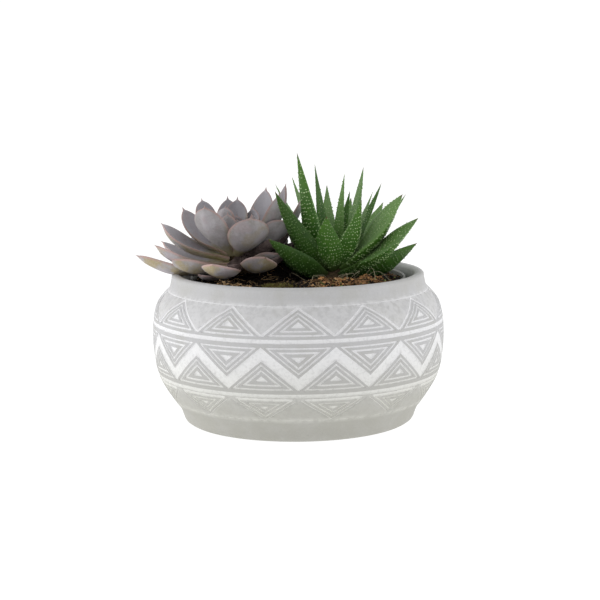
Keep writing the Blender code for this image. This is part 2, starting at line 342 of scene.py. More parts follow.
def echeveria_finish():
    """Waxy lilac grey leaves, yellow green at the heart, with coral margins."""
    look = settings("planted_echeveria")
    leaf = Finish("echeveria_skin", 0.56, Specular_IOR_Level=0.28)
    along = leaf.attribute("along")
    upper = leaf.attribute("upper")
    margin = leaf.attribute("margin")
    tint = leaf.attribute("tint")
    cloud = leaf.noise(0.009, 4.0, 0.6)
    powder = leaf.noise(0.0012, 5.0, 0.75)
    skin = leaf.mix(leaf.between(cloud, 0.35, 0.68), look.bloom, look.shade)
    blue = leaf.maths("MULTIPLY", upper, leaf.between(tint, 0.75, 0.30, 0.35, 0.9))
    skin = leaf.mix(blue, skin, look.inner)
    patch = leaf.noise(0.013, 3.0, 0.55, offset=7.0)
    under = leaf.maths("MULTIPLY", leaf.between(upper, 0.6, 0.1), leaf.between(tint, 0.35, 0.75))
    golden = leaf.maths("MULTIPLY", under, leaf.between(patch, 0.44, 0.60, 0.0, 0.8))
    skin = leaf.mix(golden, skin, (0.40, 0.32, 0.15))
    skin = leaf.mix(leaf.between(patch, 0.50, 0.34, 0.0, 0.40), skin, (0.42, 0.325, 0.33))
    heart = leaf.maths("ADD", leaf.between(along, 0.50, 0.10),
                       leaf.between(cloud, 0.3, 0.7, -0.25, 0.15))
    gold = leaf.maths("MULTIPLY", leaf.between(margin, 0.05, 0.45),
                      leaf.between(along, 0.85, 0.35, 0.0, 0.6))
    heart = leaf.maths("MAXIMUM", leaf.between(heart, 0.15, 0.95, 0.0, 0.85), gold)
    skin = leaf.mix(heart, skin, look.heart)
    rim = leaf.maths("MULTIPLY", leaf.between(margin, 0.30, 0.90),
                     leaf.between(cloud, 0.3, 0.6, 0.45, 0.85))
    rim = leaf.maths("MAXIMUM", rim, leaf.between(along, 0.955, 0.985, 0.0, 0.8))
    skin = leaf.mix(rim, skin, look.margin)
    wax = leaf.between(powder, 0.42, 0.72, 0.0, 0.30)
    skin = leaf.mix(wax, skin, (0.62, 0.60, 0.63))
    # Painted shade: a per-leaf attribute mixes in a darker copy of the skin, for leaves that sit in shade
    # and for steep ones.
    dark = leaf.mix(1.0, skin, (0.36, 0.34, 0.32), "MULTIPLY")
    leaf.paint(leaf.mix(leaf.attribute("tone"), dark, skin))
    leaf.gloss(leaf.between(powder, 0.3, 0.7, 0.50, 0.72))
    leaf.bumps((cloud, 0.0006), (powder, 0.00008))
    return leaf.material


def withered_and_shade_finish():
    """Old leaves, dull purple brown: partly their own withered colour, partly painted shade under the
    rosette.
    """
    leaf = Finish("withered_and_shaded_leaf", 0.8, Specular_IOR_Level=0.15)
    blotch = leaf.noise(0.004, 4.0, 0.65)
    leaf.paint(leaf.mix(leaf.between(blotch, 0.35, 0.65), (0.085, 0.062, 0.060),
                        (0.19, 0.145, 0.135)))
    leaf.bumps((blotch, 0.0006))
    return leaf.material


def haworthia_finish():
    """Green leaves: deep and mottled on the back, paler with long streaks on the face."""
    look = settings("planted_haworthia")
    leaf = Finish("haworthia_skin", 0.45, Specular_IOR_Level=0.24)
    along = leaf.attribute("along")
    upper = leaf.attribute("upper")
    across = leaf.attribute("across")
    tint = leaf.attribute("tint")
    lengthwise = leaf.vector(leaf.maths("MULTIPLY", across, 9.0), along,
                             leaf.maths("MULTIPLY", tint, 7.0))
    streak = leaf.noise(1.0, 3.0, 0.6, vector=lengthwise)
    cloud = leaf.noise(0.006, 3.0)
    back = leaf.mix(leaf.between(cloud, 0.35, 0.7, 0.0, 0.4), look.back, look.young)
    back = leaf.mix(leaf.between(along, 0.45, 0.95, 0.0, 0.45), back, look.young)
    # Painted shade: a low tint gives the face the back's deep green.
    face = leaf.mix(leaf.between(tint, 0.2, 0.8), look.back, look.face)
    face = leaf.mix(leaf.between(streak, 0.38, 0.66, 0.0, 0.55), face, look.young)
    skin = leaf.mix(upper, back, face)
    skin = leaf.mix(leaf.maths("MULTIPLY", leaf.between(tint, 0.75, 1.0), 0.35), skin, look.young)
    # Painted shade: leaves with a tint near 0 are darkened almost to black.
    skin = leaf.mix(leaf.between(tint, 0.22, 0.0, 0.0, 0.55), skin, (0.012, 0.030, 0.005))
    skin = leaf.mix(leaf.between(along, 0.28, 0.02, 0.0, 0.6), skin, (0.10, 0.14, 0.045))
    skin = leaf.mix(leaf.between(along, 0.945, 0.985, 0.0, 0.85), skin, look.tip)
    leaf.paint(skin)
    leaf.gloss(leaf.between(streak, 0.3, 0.7, 0.36, 0.52))
    leaf.bumps((streak, 0.0003), (leaf.noise(0.0009), 0.0001))
    return leaf.material


def pearl_finish():
    """Pale bumps, painted deep green where a low tint paints shade on the leaf."""
    look = settings("planted_haworthia")
    pearl = Finish("tubercle_pearl", 0.5, Specular_IOR_Level=0.4)
    spot = pearl.noise(0.004, 3.0)
    pale = pearl.between(pearl.attribute("tint"), 0.0, 0.4)
    green = pearl.mix(pale, (0.075, 0.135, 0.04), look.pearl)
    pearl.paint(pearl.mix(pearl.between(spot, 0.42, 0.66, 0.0, 0.7), green, (0.10, 0.20, 0.045)))
    return pearl.material


# ---------------------------------------------------------------- mesh helpers

class Shape:
    """Corners and faces gathered for one piece, with numbers kept for each corner."""

    def __init__(self, *numbers):
        self.corners = []
        self.faces = []
        self.paints = []
        self.numbers = {name: [] for name in numbers}

    def add(self, corners, faces, paint=0, **numbers):
        start = len(self.corners)
        self.corners.extend(tuple(corner) for corner in corners)
        self.faces.extend(tuple(start + index for index in face) for face in faces)
        self.paints.extend([paint] * len(faces))
        for name, stored in self.numbers.items():
            value = numbers.get(name, 0.0)
            stored.extend(value if hasattr(value, "__len__") and len(value) == len(corners)
                          and not isinstance(value, tuple) else [value] * len(corners))

    def piece(self, name, slot, materials, replaced=(), sharp=None):
        mesh = bpy.data.meshes.new(name)
        mesh.from_pydata(self.corners, [], self.faces)
        mesh.polygons.foreach_set("material_index", self.paints)
        for key, stored in self.numbers.items():
            if stored and isinstance(stored[0], tuple):
                layer = mesh.attributes.new(key, "FLOAT_COLOR", "POINT")
                layer.data.foreach_set("color", [part for item in stored for part in (*item, 1.0)])
            else:
                layer = mesh.attributes.new(key, "FLOAT", "POINT")
                layer.data.foreach_set("value", stored)
        mesh.shade_smooth()
        if sharp is not None:
            mesh.set_sharp_from_angle(angle=math.radians(sharp))
        for material in materials:
            mesh.materials.append(material)
        piece = bpy.data.objects.new(name, mesh)
        bpy.context.scene.collection.objects.link(piece)
        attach(piece, "root")
        if replaced:
            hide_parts(*replaced)
        return piece


def turns(count):
    """Equal angles all the way round."""
    return [2 * math.pi * k / count for k in range(count)]


def spoke(angle):
    """The level direction at an angle."""
    return Vector((math.cos(angle), math.sin(angle), 0))


def skin(rings, start, end):
    """Corners and faces of a closed body: rings of equal size between two end points."""
    count = len(rings[0])
    corners = [start, *(corner for ring in rings for corner in ring), end]
    faces = [(0, 1 + (k + 1) % count, 1 + k) for k in range(count)]
    for row in range(len(rings) - 1):
        low = 1 + row * count
        for k in range(count):
            after = (k + 1) % count
            faces.append((low + k, low + after, low + count + after, low + count + k))
    last = 1 + (len(rings) - 1) * count
    faces += [(len(corners) - 1, last + k, last + (k + 1) % count) for k in range(count)]
    return corners, faces


def tube(points, radii, sides):
    """A closed tube through points, tapered by its radii, as corners and faces."""
    rings = []
    for index, (point, radius) in enumerate(zip(points, radii)):
        ahead = points[min(index + 1, len(points) - 1)] - points[max(index - 1, 0)]
        turn = ahead.to_track_quat("Z", "Y")
        rings.append([point + turn @ Vector((radius * math.cos(angle), radius * math.sin(angle), 0))
                      for angle in turns(sides)])
    return skin(rings, points[0], points[-1])


def lathe(outline, columns):
    """A closed turned body from an outline that starts and ends on the axis."""
    rings = [[Vector((radius * math.cos(angle), radius * math.sin(angle), height))
              for angle in turns(columns)]
             for radius, height in outline[1:-1]]
    rings.reverse()
    return skin(rings, Vector((0, 0, outline[-1][1])), Vector((0, 0, outline[0][1])))


def flowing(points, steps):
    """A Catmull-Rom curve through points, with this many steps in each span."""
    ends = [points[0], *points, points[-1]]
    curve = []
    for before, start, end, after in zip(ends, ends[1:], ends[2:], ends[3:]):
        for step in range(steps):
            t = step / steps
            curve.append(0.5 * (2 * start + (end - before) * t
                                + (2 * before - 5 * start + 4 * end - after) * t ** 2
                                + (3 * start - before - 3 * end + after) * t ** 3))
    return curve + [points[-1]]


@functools.cache
def box(node):
    """A CAD node's low and high corner."""
    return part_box(node)


def node_corners(node):
    """Every corner of a CAD node, in the frame."""
    return np.unique(np.round([tuple(v.co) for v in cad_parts[node].data.vertices], 7), axis=0)


def turned_outline(node):
    """The (radius, height) outline of a turned CAD solid, from its inner floor round to its foot."""
    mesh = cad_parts[node].data
    at = [tuple(round(part, 6) for part in v.co) for v in mesh.vertices]
    near = {}
    for edge in mesh.edges:
        first, second = (at[index] for index in edge.vertices)
        if all(abs(p[1]) < 1e-6 and p[0] > -1e-6 for p in (first, second)) and first != second:
            near.setdefault(first, set()).add(second)
            near.setdefault(second, set()).add(first)
    here = max((p for p in near if len(near[p]) == 1), key=lambda p: p[2])
    path = [here]
    while True:
        onward = [p for p in near[here] if p not in path]
        if not onward:
            break
        here = min(onward, key=lambda p: math.dist(p, here))
        path.append(here)
    outline = [Vector((p[0], p[2])) for p in path]
    for place, end in ((0, outline[0]), (len(outline) + 1, outline[-1])):
        if end.x > 1e-6:
            outline.insert(place, Vector((0, end.y)))
    return outline


# ---------------------------------------------------------------- bowl

RIM_EDGE_DROP = 1.1 * MM        # how far below the rim's top its outer corner lies
PANEL_COLUMNS = 6               # facets across half a repeat, and so round the inside too


def ramp_band(distance, low, high, slope):
    """1 between two distances, falling to 0 over the slope on each side."""
    inward = min((distance - low) / slope, (high - distance) / slope)
    return min(max(inward, 0.0), 1.0)


class NestedTriangle:
    """One nested triangle of the relief, in millimetres round and down half a repeat."""

    def __init__(self, centred, apex, base, half, grooves):
        self.centred = centred          # True at the half repeat's start, False at its end
        self.apex = apex
        self.base = base
        self.half = half
        self.grooves = grooves
        self.rise = abs(base - apex)
        self.slant = math.hypot(half, self.rise)

    def sideways(self, across, span):
        return across if self.centred else span - across

    def side_distance(self, across, down, span):
        share = (down - self.apex) / (self.base - self.apex)
        return (self.half * share - self.sideways(across, span)) * self.rise / self.slant

    def distance(self, across, down, span):
        share = (down - self.apex) / (self.base - self.apex)
        return min(self.side_distance(across, down, span), (1 - share) * self.rise)

    def line(self, offset, span):
        """The offset outline's side and base, as segments inside the half repeat."""
        first = offset * self.slant / (self.rise * self.half)
        last = 1 - offset / self.rise
        if first >= last:
            return []
        reach = self.half * last - offset * self.slant / self.rise
        share = last
        if reach > span:
            share = (span + offset * self.slant / self.rise) / self.half
            reach = span
        if share <= 0:
            return []
        drop = self.base - self.apex
        start = max(first, 0.0)
        side = ((self.half * start - offset * self.slant / self.rise, self.apex + drop * start),
                (reach, self.apex + drop * share))
        base = ((0.0, self.apex + drop * last), (reach, self.apex + drop * last))
        return [tuple((self.sideways(across, span), down) for across, down in segment)
                for segment in (side, base)]


class Relief:
    """The bowl's bands of nested triangles, as grooves over (across, down) in millimetres."""

    SPAN = 21.27                        # half a repeat, measured at the belly
    SHOULDER = NestedTriangle(True, 10.75, 31.65, 25.4, ((2.65, 3.85), (5.05, 6.25), (7.45, 99)))
    HANGING = NestedTriangle(True, 52.6, 33.9, 22.6, ((1.2, 2.35), (3.6, 4.9), (6.5, 99)))
    STANDING = NestedTriangle(False, 43.0, 61.35, 22.3, ((1.2, 2.35), (3.6, 4.9), (6.5, 99)))
    LOWEST = NestedTriangle(False, 81.2, 64.65, 23.16, ((1.6, 2.75), (3.95, 4.95), (6.2, 99)))
    RINGS = ((30.5, 33.0), (62.3, 65.0))
    CREASES = ((10.0, 10.9, 0.55), (81.7, 82.3, 0.35))
    SHOULDER_SIDE = (-0.3, 1.45)
    SHOULDER_FLOOR = 29.1
    LOWEST_SIDE = (-0.1, 0.45)
    ZIGZAG = (34.7, 60.6)
    BANDS = ((10.9, 29.2), (34.6, 60.7), (66.3, 81.6))
    SHOULDER_FIELD = (11, 29)
    LOWEST_FIELD = (66, 81)
    HAZE = ((10.6, 2.6, 1.0), (66.0, 4.0, 0.4), (81.9, 1.6, 0.55))      # level, reach, strength

    def __init__(self, slope, shift):
        self.slope = slope
        self.shift = shift              # from the wall's own start down to the relief's zero

    def band(self, down):
        for index, (low, high) in enumerate(self.BANDS):
            if low <= down <= high:
                return index
        return None

    def depth(self, across, down):
        """How far the surface is cut at a place, from 0 to 1."""
        down = down - self.shift
        span, slope = self.SPAN, self.slope
        cuts = [ramp_band(down, low, high, slope) for low, high in self.RINGS]
        cuts += [depth * ramp_band(down, low, high, slope) for low, high, depth in self.CREASES]
        band = self.band(down)
        if band == 0:
            side = self.SHOULDER.side_distance(across, down, span)
            floor = min(max((self.SHOULDER_FLOOR - down) / slope, 0.0), 1.0)
            cuts.append(min(ramp_band(side, *self.SHOULDER_SIDE, slope), floor))
        if band == 1:
            outside = [-triangle.side_distance(across, down, span) / slope
                       for triangle in (self.HANGING, self.STANDING)]
            low, high = self.ZIGZAG
            edges = ((down - low) / slope, (high - down) / slope)
            cuts.append(min(max(min(*outside, *edges), 0.0), 1.0))
        if band == 2:
            side = self.LOWEST.side_distance(across, down, span)
            cuts.append(0.4 * ramp_band(side, *self.LOWEST_SIDE, slope / 2))
        for triangle in self.triangles(band):
            inward = triangle.distance(across, down, span)
            cuts += [ramp_band(inward, low, high, slope) for low, high in triangle.grooves]
        return max(cuts)

    def haze(self, across, down):
        """Thin wash left on the plain fields, from 0 to 1: most near the grooves."""
        down = down - self.shift
        haze = max(strength * (1 - min(abs(down - centre) / reach, 1.0))
                   for centre, reach, strength in self.HAZE)
        low, high = self.SHOULDER_FIELD
        if low < down < high and self.SHOULDER.side_distance(across, down, self.SPAN) < 0:
            haze = max(haze, 0.42)
        low, high = self.LOWEST_FIELD
        return max(haze, 0.15 if low < down < high else 0.0)

    def triangles(self, band):
        return {0: (self.SHOULDER,), 1: (self.HANGING, self.STANDING), 2: (self.LOWEST,)}.get(band, ())

    def break_lines(self):
        """Every line along which the surface bends, and the levels that ring the bowl."""
        slope, span = self.slope, self.SPAN
        levels = set()
        for low, high, *_ in (*self.RINGS, *self.CREASES):
            levels.update((low, low + slope, high - slope, high))
        levels.update((self.SHOULDER_FLOOR, self.SHOULDER_FLOOR - slope))
        levels.update((self.ZIGZAG[0], self.ZIGZAG[0] + slope, self.ZIGZAG[1] - slope, self.ZIGZAG[1]))
        lines = []
        for band, (top, bottom) in enumerate(self.BANDS):
            for triangle in self.triangles(band):
                offsets = {edge for low, high in triangle.grooves
                           for edge in (low, low + slope, high - slope, high)}
                if band == 0:
                    low, high = self.SHOULDER_SIDE
                    offsets |= {low, low + slope, high - slope, high}
                if band == 1:
                    offsets |= {0.0, -slope}
                if band == 2:
                    low, high = self.LOWEST_SIDE
                    offsets |= {low, low + slope / 2, high - slope / 2, high}
                for offset in sorted(offsets):
                    for start, end in triangle.line(offset, span):
                        clipped = clip_down(start, end, top, bottom)
                        if clipped:
                            lines.append(clipped)
        moved = [tuple((across, down + self.shift) for across, down in line) for line in lines]
        return moved, [level + self.shift for level in sorted(levels)]


def clip_down(start, end, top, bottom):
    """The part of a segment between two levels, or None."""
    if start[1] > end[1]:
        start, end = end, start
    if end[1] <= top or start[1] >= bottom or start == end:
        return None
    fall = end[1] - start[1]
    cut = []
    for level, point in ((top, start), (bottom, end)):
        if fall > 1e-9 and (point[1] < top or point[1] > bottom):
            share = (level - start[1]) / fall
            point = (start[0] + (end[0] - start[0]) * share, level)
        cut.append(point)
    return tuple(cut)


def relief_panel(relief, down_end, rows, columns):
    """Half a repeat as flat triangles whose edges follow every break line."""
    lines, levels = relief.break_lines()
    span = relief.SPAN
    for level in sorted({*levels, *rows, 0.0, down_end}):
        lines.append(((0.0, level), (span, level)))
    for column in range(columns + 1):
        across = span * column / columns
        lines.append(((across, 0.0), (across, down_end)))
    points, edges, seen = [], [], {}
    for segment in lines:
        ends = []
        for point in segment:
            key = (round(point[0], 4), round(point[1], 4))
            if key not in seen:
                seen[key] = len(points)
                points.append(Vector(key))
            ends.append(seen[key])
        if ends[0] != ends[1]:
            edges.append(tuple(ends))
    corners, _, faces, *_ = delaunay_2d_cdt(points, edges, [], 0, 1e-4)
    return corners, faces


def bowl_outline():
    """The CAD bowl's inner outline up to the rim, and its outer one down to the foot."""
    outline = turned_outline("bowl")
    top = max(range(len(outline)), key=lambda index: outline[index].y)
    return outline[1:top + 1], outline[top + 1:-1]


class Wall:
    """The bowl's outer wall as radius, height and outward direction over the run down it."""

    def __init__(self, outline):
        self.runs = [0.0]
        for start, end in zip(outline, outline[1:]):
            self.runs.append(self.runs[-1] + (end - start).length)
        self.radii = [point.x for point in outline]
        self.heights = [point.y for point in outline]

    def place(self, run):
        """The wall's radius and height at a run."""
        return float(np.interp(run, self.runs, self.radii)), float(np.interp(run, self.runs, self.heights))

    def outward(self, run):
        """The direction out of the wall, as radius and height."""
        step = 0.4 * MM
        before, after = self.place(run - step), self.place(run + step)
        ahead = (after[0] - before[0], after[1] - before[1])
        size = math.hypot(*ahead) or 1.0
        return Vector((-ahead[1] / size, ahead[0] / size))


def build_bowl():
    """The bowl with its relief, made of mirrored half repeats."""
    look = settings("planted_bowl")
    inner, outer = bowl_outline()
    top = box("bowl")[1].z
    smooth = flowing(outer, 6)
    wall = Wall(smooth)
    rim_edge = next(index for index, point in enumerate(smooth) if (top - point.y) > RIM_EDGE_DROP)
    shift = (wall.runs[rim_edge] - (top - smooth[rim_edge].y)) / MM
    bottom = wall.runs[-1] / MM
    rows = [run / MM for run in wall.runs[::3]] + [level + shift for level in np.arange(12, 80, 2.3)]
    relief = Relief(look.groove_slope / MM, shift)
    corners, faces = relief_panel(relief, bottom, [row for row in rows if row > 0.2], PANEL_COLUMNS)
    shape = Shape("recess", "haze")
    spots = [(min(max(corner.x, 0.0), relief.SPAN), corner.y) for corner in corners]
    depths = [relief.depth(*spot) for spot in spots]
    hazes = [relief.haze(*spot) for spot in spots]
    for half in range(2 * look.repeats):
        mirrored = half % 2 == 1
        placed = []
        for corner, depth in zip(corners, depths):
            across = relief.SPAN - corner.x if mirrored else corner.x
            angle = (half + across / relief.SPAN) * math.pi / look.repeats
            radius, height = wall.place(corner.y * MM)
            out = wall.outward(corner.y * MM)
            around = Vector((math.sin(angle), -math.cos(angle), 0))
            point = around * radius + Vector((0, 0, height))
            wander = look.unevenness * (noise.noise(point / 0.011) + 0.35 * noise.noise(point / 0.003))
            inward = depth * look.groove_depth + look.unevenness - min(wander, look.unevenness)
            keep = min(corner.y / 3.0, (bottom - corner.y) / 3.0, 1.0)
            point -= (around * out.x + Vector((0, 0, out.y))) * inward * max(keep, 0.0)
            placed.append(point)
        turned = [tuple(reversed(face)) for face in faces] if mirrored else faces
        shape.add(placed, turned, recess=list(depths), haze=list(hazes))
    add_inside(shape, inner, smooth, look.repeats, PANEL_COLUMNS)
    piece = shape.piece("bowl_shell", "bowl_clay", [clay_finish()], ["bowl"], sharp=60)
    weld(piece, 0.00002)


def add_inside(shape, inner, smooth, repeats, columns):
    """The rim's top, the inner wall and floor, and the flat underside."""
    count = 2 * repeats * columns
    angles = turns(count)
    inside = flowing(inner, 3)
    path = [*inside, smooth[0]]
    rings = [[Vector((math.sin(a) * p.x, -math.cos(a) * p.x, p.y)) for a in angles] for p in path]
    corners = [corner for ring in rings for corner in ring]
    faces = []
    for row in range(len(rings) - 1):
        for k in range(count):
            after = (k + 1) % count
            low, high = row * count, (row + 1) * count
            faces.append((low + k, low + after, high + after, high + k))
    corners.append(Vector((0, 0, path[0].y)))
    faces += [(len(corners) - 1, (k + 1) % count, k) for k in range(count)]
    shape.add(corners, faces)
    foot = smooth[-1]
    ring = [Vector((math.sin(a) * foot.x, -math.cos(a) * foot.x, foot.y)) for a in angles]
    centre = Vector((0, 0, foot.y))
    shape.add([*ring, centre], [(count, k, (k + 1) % count) for k in range(count)])


def weld(piece, distance):
    """Merge the corners that neighbouring patches share, and turn every face outwards."""
    body = bmesh.new()
    body.from_mesh(piece.data)
    bmesh.ops.remove_doubles(body, verts=body.verts, dist=distance)
    bmesh.ops.recalc_face_normals(body, faces=body.faces)
    body.to_mesh(piece.data)
    body.free()


# ---------------------------------------------------------------- liner and soil

def build_liner():
    """The liner pot, with a rolled lip."""
    low, high = box("liner_pot")
    outline = turned_outline("liner_pot")
    wall = max(point.x for point in outline) - sorted({round(point.x, 5) for point in outline})[-2]
    lip_radius = high.x
    floor = outline[0].y
    foot = min((point for point in outline if point.y < floor and point.x > 0.01), key=lambda p: -p.x)
    lip = 1.0 * MM
    points = [Vector((0, floor)), Vector((foot.x - wall, floor)),
              Vector((lip_radius - wall - 0.3 * MM, high.z - 3 * MM)),
              Vector((lip_radius - wall - 0.1 * MM, high.z - 0.5 * MM)),
              Vector((lip_radius - wall + 0.4 * MM, high.z)), Vector((lip_radius - 0.3 * MM, high.z)),
              Vector((lip_radius, high.z - 0.5 * MM)), Vector((lip_radius, high.z - 2.2 * MM)),
              Vector((lip_radius - 0.6 * MM, high.z - 2.6 * MM)),
              Vector((foot.x + lip, low.z + 8 * MM)), Vector((foot.x, low.z + 1.5 * MM)),
              Vector((foot.x - lip, low.z)), Vector((0, low.z))]
    shape = Shape()
    shape.add(*lathe([(point.x, point.y) for point in points], 160))
    liner = shape.piece("liner", "liner_plastic", [plastic_finish()], ["liner_pot"], sharp=35)
    weld(liner, 1e-6)


# Heaps on the soil: place, half-widths and height. The tall heap between the plants stands for their root
# balls and also fills a shadowed gap with peat, as painted shade.
MOUNDS = tuple(tuple(part * MM for part in heap) for heap in (
    (22, -38, 17, 9, 4.6), (42, -24, 10, 9, 4.2), (8, -46, 8, 6, 3.0), (-41, -43, 14, 7, 3.6),
    (-9, -39, 13, 8, 2.2), (22, -6, 12, 12, 2.0), (-9, 12, 13, 15, 11.0), (-30, -6, 20, 16, 5.0)))

# The chips' two heaps, each as (centre, spread) across and then front to back. The first centre is
# held in single precision, which the places of its chips depend on.
BARK_CENTRE = Vector((24 * MM, -34 * MM, 0))
BARK_HEAP = ((BARK_CENTRE.x, 16 * MM), (BARK_CENTRE.y, 9 * MM))
STRAW_HEAP = ((-40 * MM, 9 * MM), (-45 * MM, 4 * MM))
BARK_SHARE = 0.42                           # share of all chips aimed at the bark heap
STRAW_SHARE = 0.16                          # share of the other chips aimed at the straw heap
BARK_BACK = -22 * MM                        # behind this the chips are mostly peat, partly painted shade under the plants
STRAW_CORNER = (-27 * MM, -32 * MM)         # straw lies left of and in front of this


def soil_height(x, y):
    """Height of the soil's surface, with its lumps and heaps."""
    look = settings("planted_soil")
    top = box("potting_mix")[1].z
    radius = box("potting_mix")[1].x
    spread = math.hypot(x, y) / radius
    lumps = (noise.noise(Vector((x / 0.012, y / 0.012, 0.3))) * 0.6
             + noise.noise(Vector((x / 0.004, y / 0.004, 1.7))) * 0.35
             + noise.noise(Vector((x / 0.0016, y / 0.0016, 2.9))) * 0.18)
    edge = max(spread - 0.9, 0.0) / 0.1
    mounds = sum(rise * math.exp(-((x - at_x) / wide) ** 2 - ((y - at_y) / deep) ** 2)
                 for at_x, at_y, wide, deep, rise in MOUNDS)
    return top + 0.7 * MM + look.soil_lump * lumps + mounds - edge ** 2 * 1.4 * MM


def build_soil():
    """A crumbly skin over the potting mix and the root balls."""
    radius = box("potting_mix")[1].x
    under = box("potting_mix")[1].z - 1.2 * MM
    columns, rows = 176, 46
    rings = []
    for row in range(rows, 0, -1):
        spread = radius * row / rows
        rim = [(spread * math.cos(angle), spread * math.sin(angle)) for angle in turns(columns)]
        rings.append([Vector((x, y, soil_height(x, y))) for x, y in rim])
    rings.insert(0, [Vector((corner.x, corner.y, under)) for corner in rings[0]])
    shape = Shape()
    shape.add(*skin(rings, Vector((0, 0, under)), Vector((0, 0, soil_height(0, 0)))))
    shape.piece("soil_crumbs", "soil", [soil_finish()], sharp=70)
    for node in ("potting_mix", "echeveria_root_ball", "haworthia_root_ball"):
        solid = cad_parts[node]
        solid.data.materials.clear()
        solid.data.materials.append(soil_finish(f"{node}_peat"))


def chip_corners(rng, size):
    """A rough chip: a box with its corners pushed about, as eight corners."""
    wide, deep, thick = size
    return [Vector((sx * wide * rng.uniform(0.6, 1.0), sy * deep * rng.uniform(0.5, 1.0),
                    sz * thick * rng.uniform(0.5, 1.0)))
            for sz in (-1, 1) for sy in (-1, 1) for sx in (-1, 1)]


CHIP_FACES = [(0, 2, 3, 1), (4, 5, 7, 6), (0, 1, 5, 4), (2, 6, 7, 3), (0, 4, 6, 2), (1, 3, 7, 5)]


def chip_spot(rng, reach):
    """A place for a chip, often in one of the two heaps at the front, and perhaps off the soil."""
    spread = reach * math.sqrt(rng.random())
    angle = rng.uniform(0, 2 * math.pi)
    spot = (spread * math.cos(angle), spread * math.sin(angle))
    if rng.random() < BARK_SHARE:
        spot = tuple(rng.gauss(centre, wide) for centre, wide in BARK_HEAP)
    elif rng.random() < STRAW_SHARE:
        spot = tuple(rng.gauss(centre, wide) for centre, wide in STRAW_HEAP)
    return spot


def chip_shade(rng, x, y, look):
    """Red-brown coir on the right, straw on the front left, peat elsewhere, partly as painted shade under
    the plants, and a few green bits.
    """
    brown = 0.05 + 0.75 * min(max((x - 2 * MM) / (8 * MM), 0.0), 1.0)
    if y > BARK_BACK:
        brown *= 0.2
    kind = rng.random()
    shade = Vector(look.coir) if kind < brown else Vector(look.peat) * 1.2
    if kind > (0.4 if x < STRAW_CORNER[0] and y < STRAW_CORNER[1] else 0.97):
        shade = Vector(look.straw)
    if x > 4 * MM and rng.random() < 0.10:
        shade = Vector((0.16, 0.20, 0.06))
    return shade


def add_chips(shape, rng, look, reach):
    """Crumbs on the soil, raised and lighter on clumps, with painted shade between them."""
    for _ in range(look.chips):
        x, y = chip_spot(rng, reach)
        if math.hypot(x, y) > reach:
            continue
        shade = chip_shade(rng, x, y, look)
        # Painted shade and light: chips between the clumps are darker, those raised on them lighter.
        clump = noise.noise(Vector((x / 0.0045, y / 0.0045, 4.1)))
        shade = shade * rng.uniform(0.35, 1.25) * min(max(1.0 + 1.5 * clump, 0.25), 1.5)
        long = rng.random() ** 2
        size = [(0.40 + 2.0 * long) * MM, rng.uniform(0.25, 0.70) * MM, rng.uniform(0.2, 0.55) * MM]
        turn = Matrix.Rotation(rng.uniform(0, 6.28), 3, "Z")
        turn = turn @ Matrix.Rotation(rng.uniform(-0.9, 0.9), 3, "X")
        turn = turn @ Matrix.Rotation(rng.uniform(-0.5, 0.5), 3, "Y")
        lift = (rng.uniform(0.1, 0.9) + max(clump, 0.0) * 1.6) * MM
        place = Vector((x, y, soil_height(x, y) + lift))
        shape.add([place + turn @ corner for corner in chip_corners(rng, size)], CHIP_FACES,
                  chip_colour=tuple(shade))


def add_fibres(shape, rng, look, reach):
    """Thin bent fibres that lie on the soil."""
    coir, straw = Vector(look.coir), Vector(look.straw)
    for _ in range(look.fibres):
        spread = reach * math.sqrt(rng.random())
        angle = rng.uniform(0, 2 * math.pi)
        heading = rng.uniform(0, 2 * math.pi)
        bend = rng.uniform(-0.5, 0.5)
        at = Vector((spread * math.cos(angle), spread * math.sin(angle), 0))
        points = []
        for _ in range(7):
            ahead = at + spoke(heading) * 1.3 * MM
            at = ahead if math.hypot(ahead.x, ahead.y) < reach else at * 0.985
            heading += bend
            lift = rng.uniform(0.3, 1.1) * MM
            points.append(Vector((at.x, at.y, soil_height(at.x, at.y) + lift)))
        shade = straw * rng.uniform(0.5, 1.2) if at.x < 0.02 else coir * rng.uniform(0.8, 1.6)
        shape.add(*tube(points, [0.12 * MM] * 7, 4), chip_colour=tuple(shade))


def add_surface_roots(shape, rng):
    """Pale curled roots on the soil, in front of the haworthia."""
    low, high = box("haworthia_stem")
    for index in range(9):
        angle = math.radians(222 + index * 14)
        start = Vector(((low.x + high.x) / 2 + 19 * MM * math.cos(angle),
                        (low.y + high.y) / 2 + 19 * MM * math.sin(angle), 0))
        points = []
        curl = rng.uniform(-0.45, 0.45)
        heading = angle + rng.uniform(-0.5, 0.5)
        for step in range(12):
            share = step / 11
            start = start + spoke(heading) * 1.6 * MM
            heading += curl
            hump = (4.6 * math.sin(math.pi * share) + 0.5) * MM
            points.append(Vector((start.x, start.y, soil_height(start.x, start.y) + hump)))
        shape.add(*tube(flowing(points, 2), [0.17 * MM] * 23, 5), chip_colour=(0.46, 0.42, 0.28))


def build_chips():
    """Bark, coir and peat crumbs, loose fibres and roots, scattered on the soil."""
    look = settings("planted_soil")
    rng = random.Random(7)
    reach = box("potting_mix")[1].x - 1.0 * MM
    shape = Shape("chip_colour")
    add_chips(shape, rng, look, reach)
    add_fibres(shape, rng, look, reach)
    add_surface_roots(shape, rng)
    shape.piece("bark_and_coir", "soil", [chip_finish()], sharp=40)


